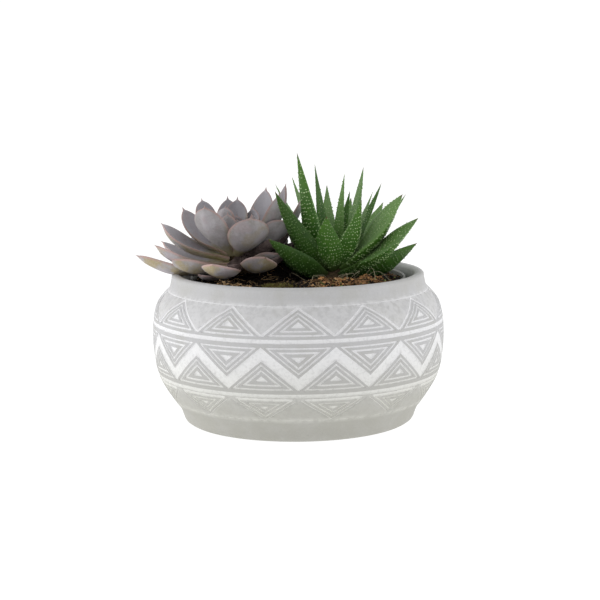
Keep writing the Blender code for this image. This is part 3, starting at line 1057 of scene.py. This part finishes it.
def build_moss():
    """A low cushion crowded with short shoots."""
    look = settings("planted_soil")
    rng = random.Random(19)
    low, high = box("moss_cushion")
    centre = (low + high) / 2
    half = (high - low) / 2
    rise = high.z - low.z

    def surface(x, y):
        share = 1 - ((x - centre.x) / half.x) ** 2 - ((y - centre.y) / half.y) ** 2
        dome = 0.55 * rise * math.sqrt(max(share, 0.0))
        return low.z + dome * (1 + 0.35 * noise.noise(Vector((x, y, 0)) / 0.003))

    shape = Shape()
    rings = []
    for row in range(12, 0, -1):
        share = 0.97 * row / 12
        rim = [(centre.x + half.x * share * math.cos(angle), centre.y + half.y * share * math.sin(angle))
               for angle in turns(40)]
        rings.append([Vector((x, y, surface(x, y))) for x, y in rim])
    rings.insert(0, [Vector((corner.x, corner.y, low.z - 1.0 * MM)) for corner in rings[0]])
    top = Vector((centre.x, centre.y, surface(centre.x, centre.y)))
    shape.add(*skin(rings, Vector((centre.x, centre.y, low.z - 1.0 * MM)), top))
    for _ in range(look.moss_shoots):
        share, angle = math.sqrt(rng.random()) * 0.96, rng.uniform(0, 2 * math.pi)
        x = centre.x + half.x * share * math.cos(angle)
        y = centre.y + half.y * share * math.sin(angle)
        foot = Vector((x, y, surface(x, y) - 0.2 * MM))
        lean = Vector((rng.uniform(-1, 1), rng.uniform(-1, 1), rng.uniform(0.7, 1.6))).normalized()
        tip = foot + lean * rng.uniform(0.8, 1.9) * MM
        middle = (foot + tip) / 2 + Vector((0, 0, 0.15 * MM))
        shape.add(*tube([foot, middle, tip], [0.16 * MM, 0.26 * MM, 0.05 * MM], 4))
    shape.piece("moss", "moss", [moss_finish()], ["moss_cushion"])


# ---------------------------------------------------------------- plants

class Spine:
    """A leaf's bent centre line from its base to its tip, with its width and belly."""

    def __init__(self, base, tip, width, belly):
        self.base, self.tip, self.width = base, tip, width
        chord = tip - base
        self.length = chord.length
        self.steep = chord.z / chord.length
        flat = Vector((chord.x, chord.y, 0)).normalized()
        self.side = Vector((-flat.y, flat.x, 0))
        face = chord.normalized().cross(self.side)
        self.bend = (base + tip) / 2 - face * (2 * belly * self.length)

    def at(self, along):
        """The centre line's point and its heading at a place along the leaf, 0 to 1."""
        point = (self.base * (1 - along) ** 2 + self.bend * (2 * along * (1 - along))
                 + self.tip * along ** 2)
        heading = (self.bend - self.base) * (1 - along) + (self.tip - self.bend) * along
        return point, heading.normalized()


def spine_of(node, crown, slack=1.0):
    """The spine of a CAD leaf, read back from its solid; slack is the share of its belly kept."""
    corners = node_corners(node)
    tip = corners[np.argmax(np.linalg.norm(corners - np.array(crown), axis=1))]
    base = corners[np.argmax(np.linalg.norm(corners - tip, axis=1))]
    straight = Spine(Vector(base), Vector(tip), 0.0, 0.0)
    chord = np.array(tip - base)
    face = np.array((straight.tip - straight.base).normalized().cross(straight.side))
    lateral = (corners - base) @ np.array(straight.side)
    widest = np.abs(lateral) > np.abs(lateral).max() * 0.999
    share = float(((corners - base) @ chord / straight.length ** 2)[widest].mean())
    sag = float(((corners - base) @ face)[widest].mean())
    belly = -sag / (4 * share * (1 - share) * straight.length)
    return Spine(straight.base, straight.tip, 2 * float(np.abs(lateral).max()), belly * slack)


def blend_max(*values):
    """The greatest of some values, with a rounded change between them."""
    return sum(max(value, 0.0) ** 5 for value in values) ** 0.2


def leaf_rings(spine, sides, places, half_at, section, roll, sway):
    """Rings of a leaf: half_at gives its half-width and section its cross-section."""
    rings, shares = [], []
    for along in places:
        point, heading = spine.at(along)
        turn = Matrix.Rotation(roll * along, 3, heading)
        side = turn @ spine.side
        face = heading.cross(side)
        point = point + side * (sway * 4 * along * (1 - along))
        half = half_at(along)
        ring = []
        for angle in turns(sides):
            across, lift = section(along, math.cos(angle), math.sin(angle), half)
            ring.append(point + side * across + face * lift)
        rings.append(ring)
        shares.append((along, half))
    return rings, shares


def echeveria_half(along, width, tip_share, round_end):
    """Half-width of a spoon-shaped leaf with a short point at its end."""
    reach = 1 - tip_share * 0.55
    inner = min(along / reach, 1.0)
    rise = 1.2
    full = rise / (rise + round_end)
    spoon = (inner / full) ** rise * ((1 - inner) / (1 - full)) ** round_end if inner < 1 else 0.0
    claw = 0.36 * (1 - along) ** 1.6
    point = 0.30 * min((1 - along) / (tip_share * 1.3), 1.0) ** 1.45
    return width / 2 * blend_max(spoon, claw, point)


def add_echeveria_leaf(shape, spine, rng, look, roll, round_end, tone=1.0):
    """One fleshy spoon-shaped leaf, hollow above and full below, with shade painted on it: the last
    argument and the leaf's steepness darken its colour.
    """
    tip_share = look.tip_length / max(spine.length, 26 * MM)
    tint = 0.30 * rng.random() + 0.70 * (1 - min(max(spine.steep, 0.0), 1.0))
    # Painted shade: steep, upright leaves lose up to 36 percent of their brightness.
    tone *= 1.0 - 0.36 * min(max((spine.steep - 0.35) / 0.35, 0.0), 1.0)
    cup = rng.uniform(0.30, 0.44)
    seed = rng.uniform(0, 50)

    def half_at(along):
        return echeveria_half(along, spine.width, tip_share, round_end)

    def section(along, c, s, half):
        arch = 1 - c * c
        fade = min(1.0, (1 - along) / 0.12)
        body = half * (0.46 - 0.14 * along ** 2) + 0.9 * MM * (1 - along) ** 2
        edge = min(look.edge, half * 0.5)
        keel = 0.10 * half * max(0.0, 1 - abs(c) * 3.0) * along
        if s >= 0:
            hollow = cup * half * math.sin(math.pi * min(along * 1.05, 1.0)) ** 0.6 * fade
            lift = edge * s ** 0.6 - hollow * (1 - abs(c) ** 1.5)
        else:
            lift = -edge * (-s) ** 0.6 - (body * arch ** 0.85 + keel) * (0.35 + 0.65 * fade)
        return c * half, lift + noise.noise(Vector((c * 1.3, along * 4.0, seed))) * 0.35 * MM * fade

    places = [0.5 - 0.5 * math.cos(math.pi * (k + 0.6) / 46) for k in range(45)]
    rings, shares = leaf_rings(spine, ECHEVERIA_SIDES, places, half_at, section, math.radians(roll),
                               rng.uniform(-1.0, 1.0) * MM)
    corners, faces = skin(rings, spine.base, spine.tip)
    along, margin, upper = [0.0], [0.0], [0.5]
    for place, half in shares:
        for angle in turns(ECHEVERIA_SIDES):
            along.append(place)
            margin.append(math.exp(-(1 - abs(math.cos(angle))) * half / (1.1 * MM)))
            upper.append(min(max(0.5 + 2.5 * math.sin(angle), 0.0), 1.0))
    shape.add(corners, faces, along=along + [1.0], margin=margin + [1.0], upper=upper + [0.5],
              tint=[tint] * len(corners), tone=[tone] * len(corners))


# How far a leaf turns about itself, in degrees, how much of its brightness it keeps under the shade
# painted on it, and which leaves end in a long taper, for the leaves that differ.
ECHEVERIA_TWISTS = {"01": 26.0, "02": 6.0, "03": 28.0, "04": -8.0, "05": -22.0, "14": -22.0,
                    "15": -20.0, "16": -38.0, "17": -30.0, "18": -16.0, "19": -25.0, "20": -35.0}
SHADED = {"10": 0.7, "14": 0.85, "15": 0.7, "16": 0.5, "17": 0.35, "18": 0.36, "19": 0.75,
          "20": 0.4, "24": 0.6}
POINTED = {"01", "02", "03", "04", "05", "11", "12", "13", "14", "15", "19", "21", "22"}
ECHEVERIA_SIDES = 36
ECHEVERIA_MARKS = ("along", "margin", "upper", "tint", "tone")

# Old leaves under the rosette, whose dull colour is partly painted shade that fills a shadowed gap:
# azimuth in degrees, then reach, rise and width in millimetres.
OLD_LEAVES = ((300, 33, -6, 16), (322, 36, -3, 18), (345, 38, 1, 18), (8, 39, 4, 18), (30, 37, 4, 17),
              (52, 34, 0, 16), (272, 30, -7, 14), (335, 27, 8, 16), (2, 33, 13, 18), (18, 34, 12, 18))
GOLDEN_ANGLE = 137.5                        # degrees from one young leaf to the next


def build_echeveria():
    """Every echeveria leaf, its heart, and the old leaves under the rosette, which fill a shadowed gap
    with painted shade.
    """
    look = settings("planted_echeveria")
    rng = random.Random(11)
    low, high = box("echeveria_stem")
    crown = Vector((low.x * 0.8 + high.x * 0.2, (low.y + high.y) / 2, high.z))
    finish = echeveria_finish()
    for node in sorted(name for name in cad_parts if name.startswith("echeveria_leaf_")):
        number = node[-2:]
        shape = Shape(*ECHEVERIA_MARKS)
        add_echeveria_leaf(shape, spine_of(node, crown), rng, look,
                           ECHEVERIA_TWISTS.get(number, 0.0) + rng.uniform(-5, 5),
                           0.74 if number in POINTED else 0.54, SHADED.get(number, 1.0))
        shape.piece(f"{node}_skin", "echeveria_leaf", [finish], [node])
    heart = Shape(*ECHEVERIA_MARKS)
    for count in range(9):
        angle = math.radians(GOLDEN_ANGLE * count + 20)
        out = spoke(angle)
        reach, rise, width = (4 + 1.6 * count, 15 + 0.9 * count, 7 + 0.75 * count)
        start = crown + out * 1.5 * MM - Vector((0, 0, 3 * MM))
        tip = crown + (out * reach + Vector((-2.5, 0, rise))) * MM
        add_echeveria_leaf(heart, Spine(start, tip, width * MM, 0.13), rng, look, 0.0, 0.6)
    heart.piece("echeveria_heart", "echeveria_leaf", [finish])
    old = Shape(*ECHEVERIA_MARKS)
    for azimuth, reach, rise, width in OLD_LEAVES:
        out = spoke(math.radians(azimuth))
        start = crown + out * 3 * MM - Vector((-1.5 * MM, 0, 6 * MM))
        tip = crown + (out * reach + Vector((0, 0, rise - 2))) * MM
        add_echeveria_leaf(old, Spine(start, tip, width * MM, 0.10), rng, look, rng.uniform(-12, 12), 0.6)
    old.piece("echeveria_old_leaves", "echeveria_leaf", [withered_and_shade_finish()])


def haworthia_half(along, width, full, taper):
    """Half-width of a triangular leaf: clasping at its base, full at a place, then tapering."""
    if along < full:
        share = 0.60 + 0.40 * math.sin(math.pi / 2 * along / full)
    else:
        share = 1 - ((along - full) / (1 - full)) ** taper
    return width / 2 * share


def dome(centre, out, side, ahead, wide, deep, tall):
    """A small closed bump that stands on a leaf, sunk a little into it."""
    rings = []
    for lift, share in ((-0.35, 0.85), (0.10, 1.0), (0.75, 0.62)):
        rings.append([centre + out * lift * tall + side * (wide * share * math.cos(a))
                      + ahead * (deep * share * math.sin(a)) for a in turns(7)])
    return skin(rings, centre - out * 0.45 * tall, centre + out * tall)


class HaworthiaLeaf:
    """A stiff leaf with a keeled back, and the rows of pale bumps that stand on it."""

    SIDES = 28
    MARKS = ("along", "across", "upper", "tint")

    def __init__(self, spine, rng, look, width_share, roll, full, taper, tint=None):
        self.spine, self.rng, self.look = spine, rng, look
        self.width = spine.width * width_share
        self.full, self.taper = full, taper
        self.roll = math.radians(roll + rng.uniform(-8, 8))
        self.sway = rng.uniform(-1.0, 1.0) * MM
        self.depth = rng.uniform(0.62, 0.78)
        self.seed = rng.uniform(0, 50)
        self.tint = tint if tint is not None else rng.uniform(0.1, 0.75)

    def half_at(self, along):
        return haworthia_half(along, self.width, self.full, self.taper)

    def section(self, along, c, s, half):
        if s >= 0:
            lift = 0.16 * half * s ** 0.7 - 0.20 * half * (1 - c * c) * (1 - along)
        else:
            ridge = (1 - abs(c)) ** 0.9
            lift = -half * self.depth * (0.45 * (1 - c * c) ** 0.6 + 0.55 * ridge) * (1.15 - 0.25 * along)
        wander = noise.noise(Vector((c * 1.1, along * 5.0, self.seed)))
        return c * half, lift + wander * 0.25 * MM * (1 - along)

    def add_body(self, shape):
        places = [0.5 - 0.5 * math.cos(math.pi * (k + 0.5) / 40) for k in range(39)]
        rings, shares = leaf_rings(self.spine, self.SIDES, places, self.half_at, self.section,
                                   self.roll, self.sway)
        corners, faces = skin(rings, self.spine.base, self.spine.tip)
        along, across, upper = [0.0], [0.0], [0.5]
        for place, _ in shares:
            for angle in turns(self.SIDES):
                along.append(place)
                across.append(math.cos(angle))
                upper.append(min(max(0.5 + 3.0 * math.sin(angle), 0.0), 1.0))
        shape.add(corners, faces, along=along + [1.0], across=across + [0.0], upper=upper + [0.5],
                  tint=[self.tint] * len(corners))

    def surface(self, along, spot, turn):
        """A point of the back (turn -1) or the face (turn 1), and three directions there."""
        point, heading = self.spine.at(along)
        side = Matrix.Rotation(self.roll * along, 3, heading) @ self.spine.side
        face = heading.cross(side)
        point = point + side * (self.sway * 4 * along * (1 - along))
        half = self.half_at(along)

        def at(share):
            share = max(-0.999, min(0.999, share))
            across, lift = self.section(along, share, turn * math.sqrt(1 - share * share), half)
            return point + side * across + face * lift

        sideways = (at(spot + 0.05) - at(spot - 0.05)).normalized()
        out = sideways.cross(heading).normalized()
        if out.dot(face) * turn < 0:
            out = -out
        if abs(spot) > 0.9:
            out = (out + side * math.copysign(1.2, spot)).normalized()
        return at(spot), out, sideways, heading

    def add_bump(self, shape, along, spot, turn, wide, deep, tall):
        place, out, side, heading = self.surface(along, spot, turn)
        corners, faces = dome(place, out, side, heading, wide, deep, tall)
        shape.add(corners, faces, 1, along=along, across=spot, upper=0.5 + turn / 2, tint=self.tint)

    def add_tubercles(self, shape):
        rng = self.rng
        pitch = self.look.row_pitch * rng.uniform(0.80, 1.08)
        rows = int(self.spine.length / pitch)
        banded = rng.uniform(0.75, 1.35)
        for row in range(1, rows):
            row_at = (row + rng.uniform(-0.14, 0.14)) / rows
            if not 0.06 < row_at < 0.965:
                continue
            half = self.half_at(row_at)
            count = max(2, int(round(2 * half * 1.25 / (self.look.tubercle * 2.7))))
            slant = rng.uniform(-0.3, 0.3)
            for index in range(count + 1):
                spot = -1 + 2 * index / count
                spot = max(-1.0, min(1.0, spot + rng.uniform(-0.55, 0.55) / count))
                drift = 0.55 * (1 - abs(spot)) + slant * spot + rng.uniform(-0.22, 0.22)
                along = min(row_at + drift / rows, 0.985)
                grown = 0.6 + 0.4 * min(half / (4 * MM), 1.0)
                size = self.look.tubercle * rng.uniform(0.60, 1.12) * grown
                if rng.random() > 0.12 or abs(spot) > 0.93:
                    stretch = rng.uniform(0.75, 1.15) * banded
                    self.add_bump(shape, along, spot, -1, size * stretch, size * 0.74,
                                  size * rng.uniform(0.5, 0.9))
                if rng.random() < 0.6 and abs(spot) < 0.85:
                    self.add_bump(shape, along, spot, 1, size * 0.85, size * 0.6, size * 0.4)


# For the leaves that differ: width share, turn in degrees, place of the full width, taper and tint; a tint
# near 0 paints the leaf in shade.
HAWORTHIA_FORMS = {
    "01": (1.65, 24.0, 0.28, 1.05, 0.7), "02": (0.92, 12.0, 0.30, 1.05, 0.2),
    "03": (1.35, 38.0, 0.30, 1.05, 0.05), "06": (0.95, 12.0, 0.35, 1.2, 0.6),
    "07": (0.80, 10.0, 0.3, 1.05, 1.0), "08": (1.15, 34.0, 0.35, 1.2, 0.5),
    "10": (1.45, 34.0, 0.42, 1.3, 0.55), "12": (1.05, 30.0, 0.45, 1.3, 0.5),
    "14": (1.1, 34.0, 0.45, 1.3, 0.65), "15": (1.6, 46.0, 0.50, 1.35, 1.0),
    "16": (1.0, -26.0, 0.45, 1.3, 0.3), "17": (1.55, 42.0, 0.45, 1.3, 0.45),
    "18": (1.5, -32.0, 0.50, 1.35, 0.1), "19": (1.08, 0.0, 0.38, 1.35, 0.25),
    "20": (1.3, 36.0, 0.40, 1.2, 0.0), "21": (0.6, 10.0, 0.35, 1.2, 0.1),
    "22": (0.82, 12.0, 0.32, 1.15, 0.1), "25": (1.7, 30.0, 0.35, 1.2, 0.05),
    "26": (2.2, 30.0, 0.35, 1.2, 0.05),
}
USUAL_FORM = (0.82, 12.0, 0.32, 1.15)       # its tint is drawn at random
SAG_KEPT = 0.35                             # share of the CAD leaf's sag that a stiff leaf keeps

# Leaves low at the back, painted almost black as shade to fill a shadowed gap: the tip's place and the
# width, in millimetres.
BACK_LEAVES = ((-20, 15, 115, 15), (-18, 6, 109, 15), (-8, 26, 118, 12))


def build_haworthia():
    """Every haworthia leaf, its heart, and the leaves low at the back, painted almost black as shade."""
    look = settings("planted_haworthia")
    rng = random.Random(23)
    low, high = box("haworthia_stem")
    crown = Vector(((low.x + high.x) / 2, (low.y + high.y) / 2, low.z))
    skins = [haworthia_finish(), pearl_finish()]

    def grow(shape, spine, *form):
        leaf = HaworthiaLeaf(spine, rng, look, *form)
        leaf.add_body(shape)
        leaf.add_tubercles(shape)

    for node in sorted(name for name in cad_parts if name.startswith("haworthia_leaf_")):
        shape = Shape(*HaworthiaLeaf.MARKS)
        grow(shape, spine_of(node, crown, SAG_KEPT), *HAWORTHIA_FORMS.get(node[-2:], USUAL_FORM))
        shape.piece(f"{node}_skin", "haworthia_leaf", skins, [node])
    heart = Shape(*HaworthiaLeaf.MARKS)
    for count in range(7):
        angle = math.radians(GOLDEN_ANGLE * count + 60)
        out = spoke(angle)
        start = Vector((crown.x, crown.y, high.z - 5 * MM)) + out * 2.5 * MM
        tip = start + (out * (3 + 1.5 * count) + Vector((0, 0, 24 + 2.5 * count))) * MM
        grow(heart, Spine(start, tip, (7.0 + 0.4 * count) * MM, 0.03), 1.0, 0.0, 0.3, 1.15)
    for *tip, width in BACK_LEAVES:
        grow(heart, Spine(crown, Vector(tip) * MM, width * MM, 0.10), 1.0, 30.0, 0.4, 1.2, 0.0)
    heart.piece("haworthia_heart", "haworthia_leaf", skins)


def build_stems():
    """The echeveria's corky leaning stem and the haworthia's short core."""
    finish = stem_finish()
    for plant, rough in (("echeveria", 0.9 * MM), ("haworthia", 0.6 * MM)):
        node = f"{plant}_stem"
        corners = node_corners(node)
        levels = sorted({round(z, 5) for z in corners[:, 2]})
        foot = corners[np.abs(corners[:, 2] - levels[0]) < 1e-5].mean(0)
        upper = corners[corners[:, 2] > levels[0] + 1e-4]
        split = (upper[:, 2].min() + upper[:, 2].max()) / 2
        middle = upper[upper[:, 2] < split]
        top = upper[upper[:, 2] >= split]
        centres = [Vector(foot), Vector(middle.mean(0)), Vector(top.mean(0))]
        spans = [float(np.linalg.norm(middle - middle.mean(0), axis=1).mean())] * 2
        spans.append(float(np.linalg.norm(top - top.mean(0), axis=1).mean()))
        path = flowing([centres[0] - Vector((0, 0, 1.0 * MM)), *centres[1:]], 8)
        rings = []
        for index, point in enumerate(path):
            share = index / (len(path) - 1)
            radius = float(np.interp(share, (0, 0.5, 1), spans)) * 0.97
            ring = []
            for angle in turns(40):
                scar = noise.noise(Vector((angle * 2.2, share * 9, 0))) * rough
                ring.append(point + spoke(angle) * (radius + scar))
            rings.append(ring)
        shape = Shape()
        shape.add(*skin(rings, path[0], path[-1]))
        shape.piece(f"{plant}_stem_skin", "stem", [finish], [node])


# ---------------------------------------------------------------- studio

def surround_world(look):
    """A white room: full light from the sides and back, less from the front and from above."""
    world = bpy.data.worlds.new("studio_surround")
    world.use_nodes = True
    tree = world.node_tree
    room = tree.nodes["Background"]
    place = tree.nodes.new("ShaderNodeTexCoord")
    parts = tree.nodes.new("ShaderNodeSeparateXYZ")
    tree.links.new(place.outputs["Generated"], parts.inputs[0])
    shares = []
    for axis, low, high, dim_low, dim_high in (("Y", -0.9, 0.1, look.front, 1.0),
                                               ("Z", 0.25, 0.95, 1.0, look.zenith)):
        share = tree.nodes.new("ShaderNodeMapRange")
        share.interpolation_type = "SMOOTHSTEP"
        for socket, number in zip(list(share.inputs)[1:5], (low, high, dim_low, dim_high)):
            socket.default_value = number
        tree.links.new(parts.outputs[axis], share.inputs["Value"])
        shares.append(share.outputs["Result"])
    both = tree.nodes.new("ShaderNodeMath")
    both.operation = "MULTIPLY"
    for share, socket in zip(shares, both.inputs):
        tree.links.new(share, socket)
    seen = tree.nodes.new("ShaderNodeLightPath")
    strength = tree.nodes.new("ShaderNodeMix")
    tree.links.new(seen.outputs["Is Camera Ray"], strength.inputs[0])
    tree.links.new(both.outputs[0], strength.inputs[2])
    strength.inputs[3].default_value = 1.05
    tree.links.new(strength.outputs[0], room.inputs["Strength"])
    room.inputs["Color"].default_value = (1, 1, 1, 1)
    return world


def build_studio():
    """The glowing floor, the room, two soft panels and the camera."""
    look = settings("planted_studio")
    scene = bpy.context.scene
    mesh = bpy.data.meshes.new("studio_floor")
    reach = 6.0
    mesh.from_pydata([(-reach, -reach, 0), (reach, -reach, 0), (reach, reach, 0), (-reach, reach, 0)],
                     [], [(0, 1, 2, 3)])
    paper = Finish("studio_paper", 0.95, Specular_IOR_Level=0.0, Emission_Strength=look.table_light)
    paper.paint(paper.mix(paper.noise(0.02), look.backdrop, Vector(look.backdrop) * 0.97))
    paper.shader.inputs["Emission Color"].default_value = (1, 1, 1, 1)
    mesh.materials.append(paper.material)
    floor = bpy.data.objects.new("studio_floor", mesh)
    floor.location.z = -0.0003
    scene.collection.objects.link(floor)

    scene.world = surround_world(look)
    lamps = (("left_panel", (-0.95, 0.05, 0.22), 0.7, look.left_lamp),
             ("right_panel", (0.95, 0.10, 0.22), 0.7, look.right_lamp))
    for name, place, size, power in lamps:
        lamp = bpy.data.lights.new(name, "AREA")
        lamp.size = size
        lamp.energy = power
        holder = bpy.data.objects.new(name, lamp)
        holder.location = place
        aim = Vector((0, 0, 0.06)) - Vector(place)
        holder.rotation_euler = aim.to_track_quat("-Z", "Y").to_euler()
        scene.collection.objects.link(holder)

    camera = bpy.data.cameras.new("studio_camera")
    camera.lens = look.lens
    camera.sensor_width = 36.0
    holder = bpy.data.objects.new("studio_camera", camera)
    holder.matrix_world = (Matrix.Translation((0.0012, -look.distance, look.height))
                           @ Matrix.Rotation(math.pi / 2 - look.tilt, 4, "X")
                           @ Matrix.Rotation(look.roll, 4, "Z"))
    scene.collection.objects.link(holder)
    scene.camera = holder
    scene.view_settings.view_transform = "Standard"


# ---------------------------------------------------------------- operators and panel

class PLANTED_OT_studio(bpy.types.Operator):
    """Add the floor, the lights and the camera"""
    bl_idname = "planted.studio"
    bl_label = "Studio"
    bl_options = {"REGISTER", "UNDO"}

    def execute(self, context):
        build_studio()
        return {"FINISHED"}


class PLANTED_OT_bowl(bpy.types.Operator):
    """Build the relief bowl"""
    bl_idname = "planted.bowl"
    bl_label = "Bowl"
    bl_options = {"REGISTER", "UNDO"}

    def execute(self, context):
        build_bowl()
        return {"FINISHED"}


class PLANTED_OT_liner(bpy.types.Operator):
    """Build the liner pot"""
    bl_idname = "planted.liner"
    bl_label = "Liner"
    bl_options = {"REGISTER", "UNDO"}

    def execute(self, context):
        build_liner()
        return {"FINISHED"}


class PLANTED_OT_soil(bpy.types.Operator):
    """Build the soil's surface"""
    bl_idname = "planted.soil"
    bl_label = "Soil"
    bl_options = {"REGISTER", "UNDO"}

    def execute(self, context):
        build_soil()
        return {"FINISHED"}


class PLANTED_OT_chips(bpy.types.Operator):
    """Scatter bark, coir and fine roots on the soil"""
    bl_idname = "planted.chips"
    bl_label = "Chips"
    bl_options = {"REGISTER", "UNDO"}

    def execute(self, context):
        build_chips()
        return {"FINISHED"}


class PLANTED_OT_moss(bpy.types.Operator):
    """Build the moss cushion"""
    bl_idname = "planted.moss"
    bl_label = "Moss"
    bl_options = {"REGISTER", "UNDO"}

    def execute(self, context):
        build_moss()
        return {"FINISHED"}


class PLANTED_OT_stems(bpy.types.Operator):
    """Build both stems"""
    bl_idname = "planted.stems"
    bl_label = "Stems"
    bl_options = {"REGISTER", "UNDO"}

    def execute(self, context):
        build_stems()
        return {"FINISHED"}


class PLANTED_OT_echeveria(bpy.types.Operator):
    """Build the echeveria's leaves"""
    bl_idname = "planted.echeveria"
    bl_label = "Echeveria"
    bl_options = {"REGISTER", "UNDO"}

    def execute(self, context):
        build_echeveria()
        return {"FINISHED"}


class PLANTED_OT_haworthia(bpy.types.Operator):
    """Build the haworthia's leaves"""
    bl_idname = "planted.haworthia"
    bl_label = "Haworthia"
    bl_options = {"REGISTER", "UNDO"}

    def execute(self, context):
        build_haworthia()
        return {"FINISHED"}


STEPS = (PLANTED_OT_studio, PLANTED_OT_bowl, PLANTED_OT_liner, PLANTED_OT_soil,
         PLANTED_OT_chips, PLANTED_OT_moss, PLANTED_OT_stems, PLANTED_OT_echeveria, PLANTED_OT_haworthia)


class PLANTED_PT_panel(bpy.types.Panel):
    """Lists the planted bowl's pieces"""
    bl_label = "Planted Bowl"
    bl_space_type = "VIEW_3D"
    bl_region_type = "UI"
    bl_category = "Planted Bowl"

    def draw(self, context):
        for operator in STEPS:
            self.layout.operator(operator.bl_idname)


CLASSES = (*GROUPS.values(), *STEPS, PLANTED_PT_panel)


def register():
    """Register every class and hang the settings on the scene."""
    for group in CLASSES:
        bpy.utils.register_class(group)
    for name, group in GROUPS.items():
        setattr(bpy.types.Scene, name, PointerProperty(type=group))


def unregister():
    """Take the settings and the classes away again."""
    for name in GROUPS:
        delattr(bpy.types.Scene, name)
    for group in reversed(CLASSES):
        bpy.utils.unregister_class(group)


def main():
    register()
    for operator in STEPS:
        name = operator.bl_idname.split(".")[1]
        getattr(bpy.ops.planted, name)()


if __name__ == "__main__":
    main()
